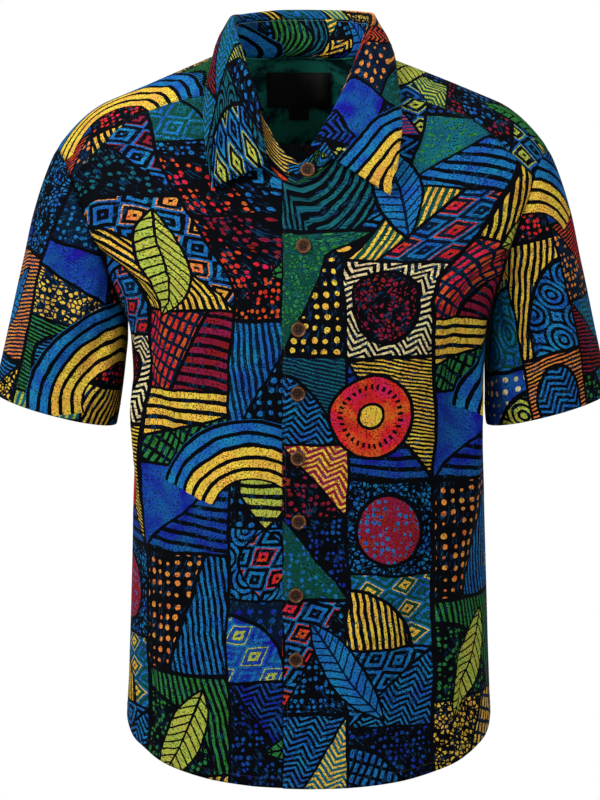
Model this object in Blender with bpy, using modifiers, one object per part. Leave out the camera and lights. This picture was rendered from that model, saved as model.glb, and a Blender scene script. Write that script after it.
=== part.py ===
"""A short-sleeved button-up shirt in printed cloth, filled out as if worn, with no wearer.

Metres, +Z up, +X to the wearer's left, -Y to the front. The origin is the middle of the neck
opening at the height of the high shoulder points, where the wearer's shoulders carry the shirt.
"""

import math

import bpy
import numpy as np
from mathutils import Vector
from mathutils.bvhtree import BVHTree

# Cloth and seams
CLOTH = 0.0012  # wall of a body, yoke or sleeve panel
COLLAR_CLOTH = 0.0016  # wall of the interlined stand and leaf
LABEL_CLOTH = 0.0008  # wall of the woven label and its tab
SEAM_GAP = 0.0004  # between the edges of two pieces sewn together
LAP_STEP = 0.0019  # from the overlapping layer's middle to the layer under it
STAND_GAP = 0.0005  # of the stand's own edge from the neck seam, where it turns up
STAND_LAP = 0.0027  # from the stand's overlapping end's middle to the end under it
REST_GAP = 0.0003  # under what lies on a panel

# The body, by height. A section is a rounded oblong, and lean moves it to the wearer's left.
BODY = (
    # height, half width, front depth, back depth, lean, exponent (2 is an ellipse, more is squarer)
    (-0.740, 0.1812, 0.119, 0.116, 0.0098, 2.4),
    (-0.667, 0.1806, 0.119, 0.115, 0.0098, 2.4),
    (-0.570, 0.1768, 0.120, 0.112, 0.0100, 2.4),
    (-0.434, 0.1722, 0.123, 0.111, 0.0096, 2.4),
    (-0.353, 0.1706, 0.126, 0.115, 0.0090, 2.4),
    (-0.300, 0.1708, 0.127, 0.120, 0.0092, 2.5),
    (-0.262, 0.1745, 0.126, 0.123, 0.0084, 2.7),
    (-0.223, 0.1905, 0.119, 0.124, 0.0062, 2.9),
    (-0.183, 0.2090, 0.109, 0.123, 0.0048, 3.0),
    (-0.133, 0.2400, 0.094, 0.119, 0.0036, 3.0),
    (-0.090, 0.2530, 0.081, 0.114, 0.0034, 3.0),
    (-0.050, 0.2590, 0.071, 0.115, 0.0034, 3.0),
    (0.000, 0.2620, 0.067, 0.121, 0.0034, 3.0),
    (0.040, 0.2620, 0.067, 0.124, 0.0034, 3.0),
)

# The shoulder line, seen from the front
RIDGE_NECK = 0.0735  # half width of the neck at the high shoulder point
RIDGE_HEIGHT = -0.0090  # height of that point
RIDGE_SLOPE = 0.417  # fall per metre outwards
RIDGE_SOFT = 0.020  # how far the two slopes blend over the neck's middle
RIDGE_LEAN = 0.0034  # how far the line lies to the wearer's left, from the neck outwards
RIDGE_BEND = 0.186  # where the line starts to round down over the arm
RIDGE_CURL = 9.5  # how fast it rounds down
SHOULDER_DROP = 0.160  # height over which front and back round over to the shoulder line

# The neck seam lies on the body. It and the collar's fold are half ellipses in plan.
NECK_SIDE = 0.0725
NECK_BACK = 0.0670
NECK_FRONT = (
    # angle round the neck in degrees from the front, height of the seam
    (0, -0.1320),
    (15, -0.1240),
    (30, -0.1010),
    (40, -0.0815),
    (52, -0.0605),
    (60, -0.0455),
    (70, -0.0275),
    (80, -0.0140),
    (90, -0.0087),
)
FOLD_SIDE = 0.0640
FOLD_FRONT = 0.0835
FOLD_BACK = 0.0715
STAND_ENDS = (0.78, 0.95, 1.0)  # height of the stand at the first lines from each end
UNDER_LINES = 2.0  # lines of the stand's end that lie under the lap
UNDER_FADE = 3.0  # lines over which it comes up from under the lap
FOLD_LEAN = 0.0060  # how far the fold lies to the wearer's left behind
FOLD = (
    # angle round the neck in degrees from the front, height of the stand's top, its lean outwards
    (0, -0.1105, -0.30),
    (15, -0.0985, -0.30),
    (30, -0.0715, -0.25),
    (40, -0.0510, -0.15),
    (50, -0.0310, -0.05),
    (60, -0.0130, 0.05),
    (72, 0.0040, 0.10),
    (90, 0.0165, 0.15),
    (120, 0.0205, 0.20),
    (150, 0.0225, 0.25),
    (180, 0.0232, 0.25),
)
NECK_FRONT_ANGLES = (-12.8, -8.5, 3.0, 14.7, 25.0, 34.0, 43.0, 51.5, 60.0)
OVERLAP_END = 1  # place in that list of the outer end of the stand
LEAF_START_OVER = 3  # and where the leaf starts on the overlapping side
LEAF_START_UNDER = 5  # and on the side under it

# The armhole, an upright oval seen from the side, which lies on the body
ARMHOLE_TOP = -0.1010
ARMHOLE_BOTTOM = -0.2650
ARMHOLE_FRONT = 0.0550
ARMHOLE_BACK = 0.0600
YOKE_FRONT_ANGLE = 47.0  # where the front yoke seam meets it, from its top
YOKE_BACK_ANGLE = 42.0
YOKE_FRONT = (
    # share of the way from neck to armhole, how far the seam lies below the neck's end of it
    (0.00, 0.0000),
    (0.28, 0.0065),
    (0.50, 0.0175),
    (0.72, 0.0370),
    (0.84, 0.0550),
    (1.00, 0.0815),
)
YOKE_BACK = -0.1010  # height of the back yoke seam at the middle of the back

# Hem: the tails are rounded up to the side seams
TAIL = -0.7050  # height of the front and back hem at the middle
HEM_SIDE = -0.6580  # height of the hem at the side seams
HEM = (
    # share of the way from the middle to the side seam, share of the rise
    (0.00, 0.000),
    (0.20, 0.020),
    (0.37, 0.070),
    (0.53, 0.145),
    (0.67, 0.260),
    (0.80, 0.410),
    (0.90, 0.590),
    (0.96, 0.755),
    (1.00, 1.000),
)

# Front edges and buttons
FRONT_EDGE = 0.0157  # from the middle to each front edge, which overlap by twice this
LAP_BLEND = (0.022, 0.046)  # how far out the layer under the lap sinks, from and to
BUTTON_RADIUS = 0.0070
BUTTON_THICK = 0.0028
BUTTONS = (
    # name, sideways place, height
    ("button_1", 0.0043, -0.1869),
    ("button_2", -0.0004, -0.2631),
    ("button_3", -0.0009, -0.3228),
    ("button_4", -0.0009, -0.3839),
    ("button_5", 0.0000, -0.4446),
    ("button_6", -0.0027, -0.5156),
    ("button_7", -0.0027, -0.5781),
)
COLLAR_BUTTON_ANGLE = 7.0  # place of the collar button round the neck, in degrees
OVERLAP_COLUMNS = 7  # of the stand's lines that lie over the others, from its outer end

# The sleeve's hem ring, and the directions in which the sleeve leaves the armhole
SLEEVE_MIDDLE = 0.2412  # from the body's middle to the hem ring's middle
SLEEVE_LEAN = 0.0025
SLEEVE_HEM = -0.3530  # height of the ring's middle
SLEEVE_HALF = 0.0615  # half width of the ring
SLEEVE_DEPTH = 0.0600  # half depth of the ring
SLEEVE_TILT = math.radians(15.4)
SLEEVE_START = (
    # angle in degrees, outwards, backwards, upwards, pull at the armhole, pull at the hem
    (0, 0.47, 0.00, -0.88, 0.190, 0.200),
    (45, 0.46, -0.20, -0.86, 0.170, 0.190),
    (90, 0.28, -0.12, -0.95, 0.130, 0.150),
    (135, 0.08, -0.03, -1.00, 0.110, 0.080),
    (180, 0.00, 0.00, -1.00, 0.100, 0.045),
    (225, 0.08, 0.03, -1.00, 0.110, 0.080),
    (270, 0.28, 0.12, -0.95, 0.130, 0.150),
    (315, 0.46, 0.20, -0.86, 0.170, 0.190),
    (360, 0.47, 0.00, -0.88, 0.190, 0.200),
)
UNDERARM_STEP = 0.0021  # the sleeve's start lies this far outside the body under the arm

# Soft folds of the body, by angle round it from the front towards the wearer's left
BODY_FOLDS = (
    # angle, half width in degrees, top, bottom, height of the ridge
    (63, 9, -0.250, -0.480, 0.0060),
    (46, 7, -0.300, -0.690, 0.0045),
    (-60, 9, -0.240, -0.470, 0.0060),
    (-43, 8, -0.330, -0.690, 0.0046),
    (22, 9, -0.440, -0.700, 0.0030),
    (-20, 8, -0.500, -0.700, -0.0026),
    (80, 6, -0.340, -0.660, -0.0032),
    (-82, 6, -0.360, -0.640, -0.0032),
    (108, 7, -0.280, -0.640, 0.0055),
    (-112, 8, -0.300, -0.640, 0.0052),
    (134, 8, -0.240, -0.700, 0.0070),
    (-138, 9, -0.260, -0.700, 0.0064),
    (158, 8, -0.330, -0.700, -0.0042),
    (-160, 8, -0.360, -0.700, -0.0045),
    (178, 9, -0.380, -0.700, 0.0052),
)
# Soft folds of a sleeve, by angle from its top over the front
SLEEVE_FOLDS = (
    # angle, half width in degrees, start and end along the sleeve, height of the ridge
    (58, 17, 0.10, 0.85, 0.0040),
    (98, 14, 0.20, 1.00, -0.0035),
    (128, 14, 0.02, 0.80, 0.0045),
    (216, 15, 0.02, 0.85, 0.0045),
    (262, 16, 0.20, 1.00, -0.0035),
    (306, 16, 0.10, 0.90, 0.0040),
)

# The collar's leaf: where its free edge runs, by turn round the neck from the front over the
# wearer's right shoulder. It starts at the right leaf's front corner, and both points are rows.
LEAF_EDGE = (
    # turn in degrees, sideways, backwards, height, how far the roll stands above the stand
    (34.0, -0.0293, -0.0960, -0.1100, 0.0030),
    (43.0, -0.0560, -0.0970, -0.1220, 0.0045),
    (51.5, -0.0821, -0.0960, -0.1335, 0.0055),
    (60.0, -0.0868, -0.0900, -0.1000, 0.0065),
    (67.0, -0.0900, -0.0720, -0.0690, 0.0075),
    (80.0, -0.0825, -0.0230, -0.0150, 0.0075),
    (100.0, -0.0745, 0.0240, -0.0080, 0.0072),
    (135.0, -0.0505, 0.0675, -0.0150, 0.0078),
    (160.0, -0.0265, 0.0830, -0.0190, 0.0095),
    (180.0, 0.0025, 0.0865, -0.0200, 0.0095),
    (200.0, 0.0290, 0.0830, -0.0190, 0.0095),
    (225.0, 0.0600, 0.0680, -0.0150, 0.0095),
    (260.0, 0.0850, 0.0240, -0.0080, 0.0092),
    (280.0, 0.0915, -0.0230, -0.0150, 0.0085),
    (293.8, 0.0965, -0.0720, -0.0690, 0.0075),
    (308.0, 0.0945, -0.0880, -0.0950, 0.0060),
    (332.3, 0.0895, -0.0960, -0.1250, 0.0045),
    (345.3, 0.0850, -0.0980, -0.1400, 0.0040),
)
LEAF_ROLL = 0.0030  # how far the roll's top stands outside the stand
ROLL_RISE = 0.70  # share of the roll's height where it is still over the stand
ROLL_TURN = (0.55, 2.3)  # share of its height, and of its reach outwards, where it turns down
LEAF_BELLY = 0.0020  # how far the leaf bows outwards below the roll
LEAF_FALL = ((0.45, 1.0), (0.75, 0.7))  # two places down to the edge, each with its share of that bow
LEAF_CLEAR = 0.0027  # from the body's middle surface to the leaf's

# The woven label and the tab under it, at the middle of the back yoke's inside
LABEL_HALF = 0.0320
LABEL_TOP = -0.0285
LABEL_DROP = 0.0350
TAB_HALF = 0.0098
TAB_DROP = 0.0125
LABEL_INSET = 0.0017  # from the yoke's middle surface to the label's

# How finely each piece is divided
SIDE_ROWS = 18
ARMHOLE_FRONT_ROWS = 11
ARMHOLE_YOKE_ROWS = 8
ARMHOLE_BACK_ROWS = 10
FRONT_COLUMNS = 12
BACK_COLUMNS = 20
YOKE_ROWS = FRONT_COLUMNS  # the same, as the two meet along the front yoke seams
SLEEVE_ROWS = 11
STAND_ROWS = 3
BUTTON_SIDES = 16
EVEN_BAND = 0.35  # share of a panel's width over which its rows become evenly spread

COLOURS = {
    "printed_cloth": (0.03, 0.12, 0.22),
    "label": (0.012, 0.012, 0.012),
    "button": (0.13, 0.045, 0.018),
}


def smooth(table, column, at):
    """One column of a table, read at any place of its first column: cubic pieces through the rows,
    each starting and ending with the slope of the line between its neighbours."""
    rows = np.array(table, float)
    knots, values = rows[:, 0], rows[:, column]
    slopes = np.gradient(values, knots)
    at = np.clip(np.asarray(at, float), knots[0], knots[-1])
    low = np.clip(np.searchsorted(knots, at) - 1, 0, len(knots) - 2)
    step = knots[low + 1] - knots[low]
    t = (at - knots[low]) / step
    start = values[low] * (1 + 2 * t) * (1 - t) ** 2 + slopes[low] * step * t * (1 - t) ** 2
    end = values[low + 1] * t * t * (3 - 2 * t) - slopes[low + 1] * step * t * t * (1 - t)
    return start + end


def ease(t):
    """0 before 0, 1 after 1, and a soft S between."""
    t = np.clip(t, 0, 1)
    return t * t * (3 - 2 * t)


def unit(vectors):
    """The same directions, each one long."""
    return vectors / np.maximum(np.linalg.norm(vectors, axis=-1, keepdims=True), 1e-9)


def ridge(x):
    """Height of the shoulder line: two slopes that blend at the middle and round down at the arm."""
    x = np.asarray(x, float)
    x = np.abs(x - RIDGE_LEAN * np.clip(np.abs(x) / RIDGE_NECK - 1, 0, 1))
    out = np.sqrt(x * x + RIDGE_SOFT**2) - math.hypot(RIDGE_NECK, RIDGE_SOFT)
    return RIDGE_HEIGHT - RIDGE_SLOPE * out - RIDGE_CURL * np.maximum(x - RIDGE_BEND, 0) ** 2


def fold_height(around, height):
    """How far the body's soft folds lift the cloth, at an angle round the body in degrees: each is
    a bell across and fades at both ends."""
    lift = np.zeros(np.broadcast(around, height).shape)
    for angle, half, top, bottom, rise in BODY_FOLDS:
        across = (around - angle + 180) % 360 - 180
        along = ease((top - height) / 0.09) * ease((height - bottom) / 0.10 + 0.35)
        lift = lift + rise * np.exp(-((across / half) ** 2)) * along
    return lift


def section(height, face):
    """The body's section at a height: half width, depth on that face, lean and exponent."""
    depth = smooth(BODY, 2 if face < 0 else 3, height)
    return smooth(BODY, 1, height), depth, smooth(BODY, 4, height), smooth(BODY, 5, height)


def body_point(angle, height, face):
    """The body's cloth at an angle from the middle and a height. Each section is an oblong
    |x/a|^n + |y/b|^n = 1, and towards the shoulder line its depth shrinks as a quarter circle.
    face is -1 in front and 1 behind."""
    half, depth, lean, power = section(height, face)
    sine, cosine = np.sin(angle), np.maximum(np.cos(angle), 0)
    reach = (np.abs(sine) ** power + cosine**power) ** (-1 / power)
    x = lean + half * reach * sine
    fall = np.clip((ridge(x) - height) / SHOULDER_DROP, 0, 1)
    y = face * depth * reach * cosine * np.sqrt(1 - (1 - fall) ** 2)
    around = np.degrees(angle) if face < 0 else 180 - np.degrees(angle)
    lift = fold_height(around, height)
    out = unit(np.stack([(x - lean) / half**2, y / depth**2], axis=-1))
    return np.stack([x + out[..., 0] * lift, y + out[..., 1] * lift, height + 0 * x], axis=-1)


def body_angle(x, height):
    """The angle from the middle at which the body's section reaches x."""
    half, _, lean, power = section(height, -1)
    share = np.clip((x - lean) / half, -1, 1)
    rest = (1 - np.abs(share) ** power) ** (1 / power)
    return np.arctan2(share, rest)


def body_depth(x, height, face):
    """How far the body's section would reach at x, before the shoulder takes from it."""
    half, depth, lean, power = section(height, face)
    share = np.clip(np.abs(x - lean) / half, 0, 1)
    return depth * (1 - share**power) ** (1 / power)


def over_shoulder(x, y):
    """Height of the body's cloth over a place near the shoulder line. The depth that rounds it
    depends on the height, so the height is found by repeating."""
    height = ridge(x)
    for _ in range(40):
        front, back = body_depth(x, height, -1), body_depth(x, height, 1)
        share = np.clip(np.abs(y) / np.where(y < 0, front, back), 0, 1)
        height = 0.5 * height + 0.5 * (ridge(x) - SHOULDER_DROP * (1 - np.sqrt(1 - share**2)))
    return height


def neck_seam(angles):
    """Points of the neck seam, at angles in degrees from the front towards the wearer's left. In
    front its heights are given and its depths are the body's, and behind it is the reverse."""
    angles = np.asarray(angles, float)
    turn = np.radians(angles)
    x, forward = NECK_SIDE * np.sin(turn), np.cos(turn)
    z = smooth(NECK_FRONT, 1, np.abs((angles + 180) % 360 - 180))
    fall = np.clip((ridge(x) - z) / SHOULDER_DROP, 0, 1)
    front = -body_depth(x, z, -1) * np.sqrt(1 - (1 - fall) ** 2)
    y = np.where(forward > 0, front, -NECK_BACK * forward)
    return np.stack([x, y, np.where(forward > 0, z, over_shoulder(x, y))], axis=-1)


def fold_line(angles):
    """Points of the stand's top, where the leaf folds over, at the same angles."""
    angles = np.asarray(angles, float)
    turn = np.radians(angles)
    forward = np.cos(turn)
    x = FOLD_SIDE * np.sin(turn) + FOLD_LEAN * (1 - forward) / 2
    y = -np.where(forward > 0, FOLD_FRONT, FOLD_BACK) * forward
    return np.stack([x, y, smooth(FOLD, 1, np.abs((angles + 180) % 360 - 180))], axis=-1)


def armhole_ring(side, angles):
    """Points of an armhole at angles in degrees from its top over the front, on the body's cloth.
    side is 1 on the wearer's left and -1 on the right. The place outwards is found by halving."""
    turn = np.radians(np.asarray(angles, float))
    middle, half = (ARMHOLE_TOP + ARMHOLE_BOTTOM) / 2, (ARMHOLE_TOP - ARMHOLE_BOTTOM) / 2
    z = middle + half * np.cos(turn)
    depth = np.where(np.sin(turn) < 0, ARMHOLE_BACK, ARMHOLE_FRONT) * np.abs(np.sin(turn))
    near, far = 0.10 + 0 * z, 0.30 + 0 * z
    for _ in range(40):
        x = (near + far) / 2
        fall = np.clip((ridge(side * x) - z) / SHOULDER_DROP, 0, 1)
        front, back = body_depth(side * x, z, -1), body_depth(side * x, z, 1)
        here = np.where(np.sin(turn) < 0, back, front) * np.sqrt(1 - (1 - fall) ** 2)
        near, far = np.where(here > depth, x, near), np.where(here > depth, far, x)
    y = -np.sign(np.round(np.sin(turn), 9)) * depth
    return np.stack([side * x, y, z], axis=-1)


def ended(curve, start, end):
    """The curve, moved near its two ends so that it starts and ends exactly there."""
    t = np.linspace(0, 1, len(curve))[:, None]
    return curve + (start - curve[0]) * (1 - t) ** 3 + (end - curve[-1]) * t**3


def front_yoke_seam(side):
    """The front yoke seam from the neck to the armhole, on the body's cloth."""
    start = neck_seam(side * NECK_FRONT_ANGLES[-1])
    end = armhole_ring(side, YOKE_FRONT_ANGLE)
    share = np.linspace(0, 1, FRONT_COLUMNS + 1)
    x = start[0] + (end[0] - start[0]) * share
    fall = (start[2] - end[2]) / YOKE_FRONT[-1][1]
    z = start[2] - smooth(YOKE_FRONT, 1, share) * fall
    return ended(body_point(body_angle(x, z), z, -1), start, end)


def back_yoke_seam():
    """The back yoke seam from the right armhole to the left."""
    start, end = armhole_ring(-1, -YOKE_BACK_ANGLE), armhole_ring(1, -YOKE_BACK_ANGLE)
    share = np.linspace(-1, 1, BACK_COLUMNS + 1)
    x = (start[0] + end[0]) / 2 + (end[0] - start[0]) / 2 * share
    z = YOKE_BACK + (end[2] - YOKE_BACK) * share**4
    return ended(body_point(body_angle(x, z), z, 1), start, end)


def side_seam(side):
    """The side seam from the hem up to the bottom of the armhole."""
    z = np.linspace(HEM_SIDE, ARMHOLE_BOTTOM, SIDE_ROWS + 1)
    seam = body_point(np.full(len(z), side * math.pi / 2), z, -1)
    return ended(seam, seam[0], armhole_ring(side, 180.0))


def hem_height(share):
    """Height of the hem at a share of the way from the middle to a side seam."""
    return TAIL + (HEM_SIDE - TAIL) * smooth(HEM, 1, np.abs(share))


def hem_share(angle):
    """How far out the body's section reaches at an angle, as a share of its half width."""
    power = smooth(BODY, 5, TAIL)
    reach = (np.abs(np.sin(angle)) ** power + np.cos(angle) ** power) ** (-1 / power)
    return reach * np.sin(angle)


def between(left, right, bottom, top):
    """A four-sided patch over a grid of rows and columns: the two straight blends of opposite edges,
    less the blend of the four corners."""
    rows, columns = len(left), len(bottom)
    v = np.linspace(0, 1, rows)[:, None, None]
    u = np.linspace(0, 1, columns)[None, :, None]
    across = (1 - u) * left[:, None] + u * right[:, None]
    along = (1 - v) * bottom[None] + v * top[None]
    corners = (1 - v) * ((1 - u) * bottom[0] + u * bottom[-1])
    corners = corners + v * ((1 - u) * top[0] + u * top[-1])
    return across + along - corners


def seated(grid, left, right, bottom, top):
    """The grid, with its four edges moved exactly onto the given curves and the move fading
    inwards."""
    rows, columns = grid.shape[:2]
    v = np.linspace(0, 1, rows)[:, None, None]
    u = np.linspace(0, 1, columns)[None, :, None]
    to_left, to_right, to_bottom, to_top = (1 - u) ** 4, u**4, (1 - v) ** 6, v**6
    grid = grid + to_left * (left - grid[:, 0])[:, None] + to_right * (right - grid[:, -1])[:, None]
    return grid + to_bottom * (bottom - grid[0])[None] + to_top * (top - grid[-1])[None]


def body_panel(left, right, bottom, top, face):
    """A body panel between four curves: the patch is made in angle and height, and each of its
    points is then read off the body's cloth. Away from its sides its rows are spread evenly, as
    they crowd under the armhole and at the neck."""
    curves = (left, right, bottom, top)
    edges = [np.stack([body_angle(c[:, 0], c[:, 2]), c[:, 2]], axis=-1) for c in curves]
    flat = between(*edges)
    v = np.linspace(0, 1, len(left))[:, None]
    u = np.linspace(0, 1, len(bottom))[None, :]
    even = edges[2][:, 1] * (1 - v) + edges[3][:, 1] * v
    inside = 1 - (1 - np.clip(np.minimum(u, 1 - u) / EVEN_BAND, 0, 1)) ** 2
    height = flat[..., 1] + (even - flat[..., 1]) * inside
    grid = body_point(flat[..., 0], height, face)
    return seated(grid, left, right, bottom, top)


def trimmed(grid, edges, gap=SEAM_GAP / 2):
    """The grid with the named edges drawn in from their seams."""
    grid = grid.copy()
    places = {"left": (slice(None), 0, 1), "right": (slice(None), -1, -2)}
    for edge in edges:
        if edge in places:
            rows, outer, inner = places[edge]
            grid[rows, outer] += unit(grid[rows, inner] - grid[rows, outer]) * gap
        else:
            outer, inner = (0, 1) if edge == "bottom" else (-1, -2)
            grid[outer] += unit(grid[inner] - grid[outer]) * gap
    return grid


def sunk(grid, side):
    """A front panel whose middle strip lies under the other front: it sinks inwards by the lap."""
    near, far = LAP_BLEND
    under = 1 - ease((side * grid[..., 0] - near) / (far - near))
    grid = grid.copy()
    grid[..., 1] += LAP_STEP * under
    return grid


def front_grid(side):
    """A front, from its front edge out to the side seam and armhole. The wearer's left front
    (side 1) lies over the right one."""
    armhole = armhole_ring(side, np.linspace(180, YOKE_FRONT_ANGLE, ARMHOLE_FRONT_ROWS + 1))
    outer = np.concatenate([side_seam(side), armhole[1:]])
    neck = neck_seam(side * np.array(NECK_FRONT_ANGLES))
    rows = len(outer) - len(neck) + 1
    edge_x = -side * FRONT_EDGE
    z = np.linspace(TAIL, neck[0, 2], rows)
    edge = body_point(body_angle(np.full(rows, edge_x), z), z, -1)
    inner = np.concatenate([ended(edge, edge[0], neck[0]), neck[1:]])
    angle = np.linspace(body_angle(edge_x, TAIL), side * math.pi / 2, FRONT_COLUMNS + 1)
    z = hem_height(hem_share(angle))
    hem = body_point(angle, z, -1)
    inner[0] = hem[0]
    hem = ended(hem, inner[0], outer[0])
    grid = body_panel(inner, outer, hem, front_yoke_seam(side), -1)
    return sunk(grid, side) if side < 0 else grid


def back_grid():
    """The back, from the right side seam to the left, and from the hem up to the yoke."""
    angles = np.linspace(-180, -YOKE_BACK_ANGLE, ARMHOLE_BACK_ROWS + 1)
    right, left = (
        np.concatenate([side_seam(side), armhole_ring(side, angles)[1:]]) for side in (-1, 1)
    )
    angle = np.linspace(-math.pi / 2, math.pi / 2, BACK_COLUMNS + 1)
    hem = body_point(angle, hem_height(hem_share(angle)), 1)
    return body_panel(right, left, ended(hem, right[0], left[0]), back_yoke_seam(), 1)


def yoke_angles():
    """The angles round the neck at which the yoke's lines start, from the right front over the
    back to the left front."""
    edge = NECK_FRONT_ANGLES[-1]
    return np.linspace(edge, 360 - edge, 2 * ARMHOLE_YOKE_ROWS + BACK_COLUMNS + 1) - 360


def yoke_point(x, over):
    """The cloth over the shoulder: over is the angle of the quarter circles by which front and back
    round to the shoulder line, from -90 degrees in front to 90 behind."""
    z = ridge(x) - SHOULDER_DROP * (1 - np.cos(over))
    angle = body_angle(x, z)
    front, back = body_point(angle, z, -1), body_point(angle, z, 1)
    return np.where((over > 0)[..., None], back, front)


def yoke_place(points):
    """Where points lie on the cloth over the shoulder, as sideways place and angle over it."""
    x, y, z = points.T
    front, back = body_depth(x, z, -1), body_depth(x, z, 1)
    share = np.clip(y / np.where(y < 0, front, back), -1, 1)
    return np.stack([x, np.arcsin(share)], axis=-1)


def yoke_grid():
    """The yoke, a horseshoe round the neck: its lines run from the neck seam out to the armholes
    and the back yoke seam, and its two ends are the front yoke seams."""
    inner = neck_seam(yoke_angles()[::-1])
    over = np.linspace(YOKE_FRONT_ANGLE, -YOKE_BACK_ANGLE, ARMHOLE_YOKE_ROWS + 1)
    right, left = armhole_ring(-1, over), armhole_ring(1, over)[::-1]
    outer = np.concatenate([right, back_yoke_seam()[1:-1], left])
    ends = [front_yoke_seam(side) for side in (-1, 1)]
    places = [yoke_place(curve) for curve in (inner, outer, *ends)]
    u = np.linspace(0, 1, YOKE_ROWS + 1)[None, :, None]
    flat = seated(places[0][:, None] * (1 - u) + places[1][:, None] * u, *places)
    grid = yoke_point(flat[..., 0], flat[..., 1])
    return seated(grid, inner, outer, ends[0], ends[1])


def sleeve_angles():
    """The angles round an armhole at which the pieces sewn to it have their points."""
    front = np.linspace(180, YOKE_FRONT_ANGLE, ARMHOLE_FRONT_ROWS + 1)
    over = np.linspace(YOKE_FRONT_ANGLE, -YOKE_BACK_ANGLE, ARMHOLE_YOKE_ROWS + 1)
    back = np.linspace(-YOKE_BACK_ANGLE, -180, ARMHOLE_BACK_ROWS + 1)
    return np.concatenate([front, over[1:], back[1:-1]])


def sleeve_grid(side):
    """A sleeve: each of its lines leaves the armhole in its own direction and runs as one cubic
    curve to the tilted hem ring."""
    angles = sleeve_angles()
    around = angles % 360
    heading = np.stack([smooth(SLEEVE_START, k, around) for k in (1, 2, 3)], axis=-1)
    heading = unit(heading * (side, 1, 1))
    under = ease((np.abs((angles + 180) % 360 - 180) - 60) / 70)[:, None]
    start = armhole_ring(side, angles) + heading * SEAM_GAP
    start = start + np.array([side * UNDERARM_STEP, 0, 0]) * under
    turn = np.radians(angles)
    out = np.array([side * math.cos(SLEEVE_TILT), 0, math.sin(SLEEVE_TILT)])
    down = np.array([side * math.sin(SLEEVE_TILT), 0, -math.cos(SLEEVE_TILT)])
    middle = np.array([side * SLEEVE_MIDDLE + SLEEVE_LEAN, 0, SLEEVE_HEM])
    ring = middle + SLEEVE_HALF * np.cos(turn)[:, None] * out
    ring = ring - SLEEVE_DEPTH * np.sin(turn)[:, None] * np.array([0, 1, 0])
    pull = smooth(SLEEVE_START, 4, around)[:, None] * heading
    reach = smooth(SLEEVE_START, 5, around)[:, None] * down
    t = np.linspace(0, 1, SLEEVE_ROWS + 1)[:, None, None]
    grid = start * (1 + 2 * t) * (1 - t) ** 2 + pull * t * (1 - t) ** 2
    grid = grid + ring * t * t * (3 - 2 * t) - reach * t * t * (1 - t)
    outward = unit(np.cos(turn)[:, None] * out - np.sin(turn)[:, None] * np.array([0, 1, 0]))
    lift = np.zeros(grid.shape[:2])
    for angle, half, first, last, rise in SLEEVE_FOLDS:
        across = (angles - angle + 180) % 360 - 180
        run = ease((t[..., 0] - first) / 0.3) * ease((last - t[..., 0]) / 0.3 + 0.25)
        lift = lift + rise * np.exp(-((across / half) ** 2)) * run
    return grid + outward[None] * lift[..., None]


def stand_angles():
    """The angles round the neck of the stand's lines, from its end under the lap to its end over
    it."""
    front = np.array(NECK_FRONT_ANGLES)
    return np.concatenate([-front, yoke_angles()[::-1][1:-1], front[OVERLAP_END:][::-1]])


def outside(points):
    """Above 0 outside the body's cloth and below it inside: the cross-section at a place sideways
    is an ellipse about the shoulder's core line."""
    x, y, z = points.T
    depth = np.where(y < 0, body_depth(x, z, -1), body_depth(x, z, 1))
    return (y / depth) ** 2 + (1 - (ridge(x) - z) / SHOULDER_DROP) ** 2 - 1


def inward_tangent(angles):
    """The direction in which the body's cloth runs into the neck seam: square to the seam and to
    the cloth's own normal."""
    seam, step = neck_seam(angles), 1e-4
    steps = step * np.eye(3)
    normal = np.stack([outside(seam + d) - outside(seam - d) for d in steps], axis=-1)
    along = neck_seam(np.asarray(angles) + 0.5) - neck_seam(np.asarray(angles) - 0.5)
    return unit(np.cross(unit(normal), unit(along)))


def stand_grid():
    """The stand: each line leaves the neck seam as the body's cloth reaches it, and bends up to the
    stand's top. Its end under the lap lies inside the other, and both ends are rounded off."""
    angles = stand_angles()
    seam, top = neck_seam(angles), fold_line(angles)
    order = np.arange(len(angles))
    ends = np.minimum(order, order[::-1])
    height = np.interp(ends, range(len(STAND_ENDS)), STAND_ENDS)[:, None]
    top = seam + (top - seam) * height
    tall = np.linalg.norm(top - seam, axis=1, keepdims=True)
    start = inward_tangent(angles) * tall
    away = np.abs((angles + 180) % 360 - 180)
    lean = smooth(FOLD, 2, away)[:, None] * unit(seam * (1, 1, 0))
    finish = unit(np.array([0, 0, 1]) + lean) * tall
    t = np.linspace(0, 1, STAND_ROWS + 1)[:, None, None]
    grid = seam * (1 + 2 * t) * (1 - t) ** 2 + start * t * (1 - t) ** 2
    grid = grid + top * t * t * (3 - 2 * t) - finish * t * t * (1 - t)
    under = 1 - ease((order - UNDER_LINES) / UNDER_FADE)
    sink = unit(-seam * (1, 1, 0)) * (under * STAND_LAP)[:, None]
    return grid + sink[None]


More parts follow.
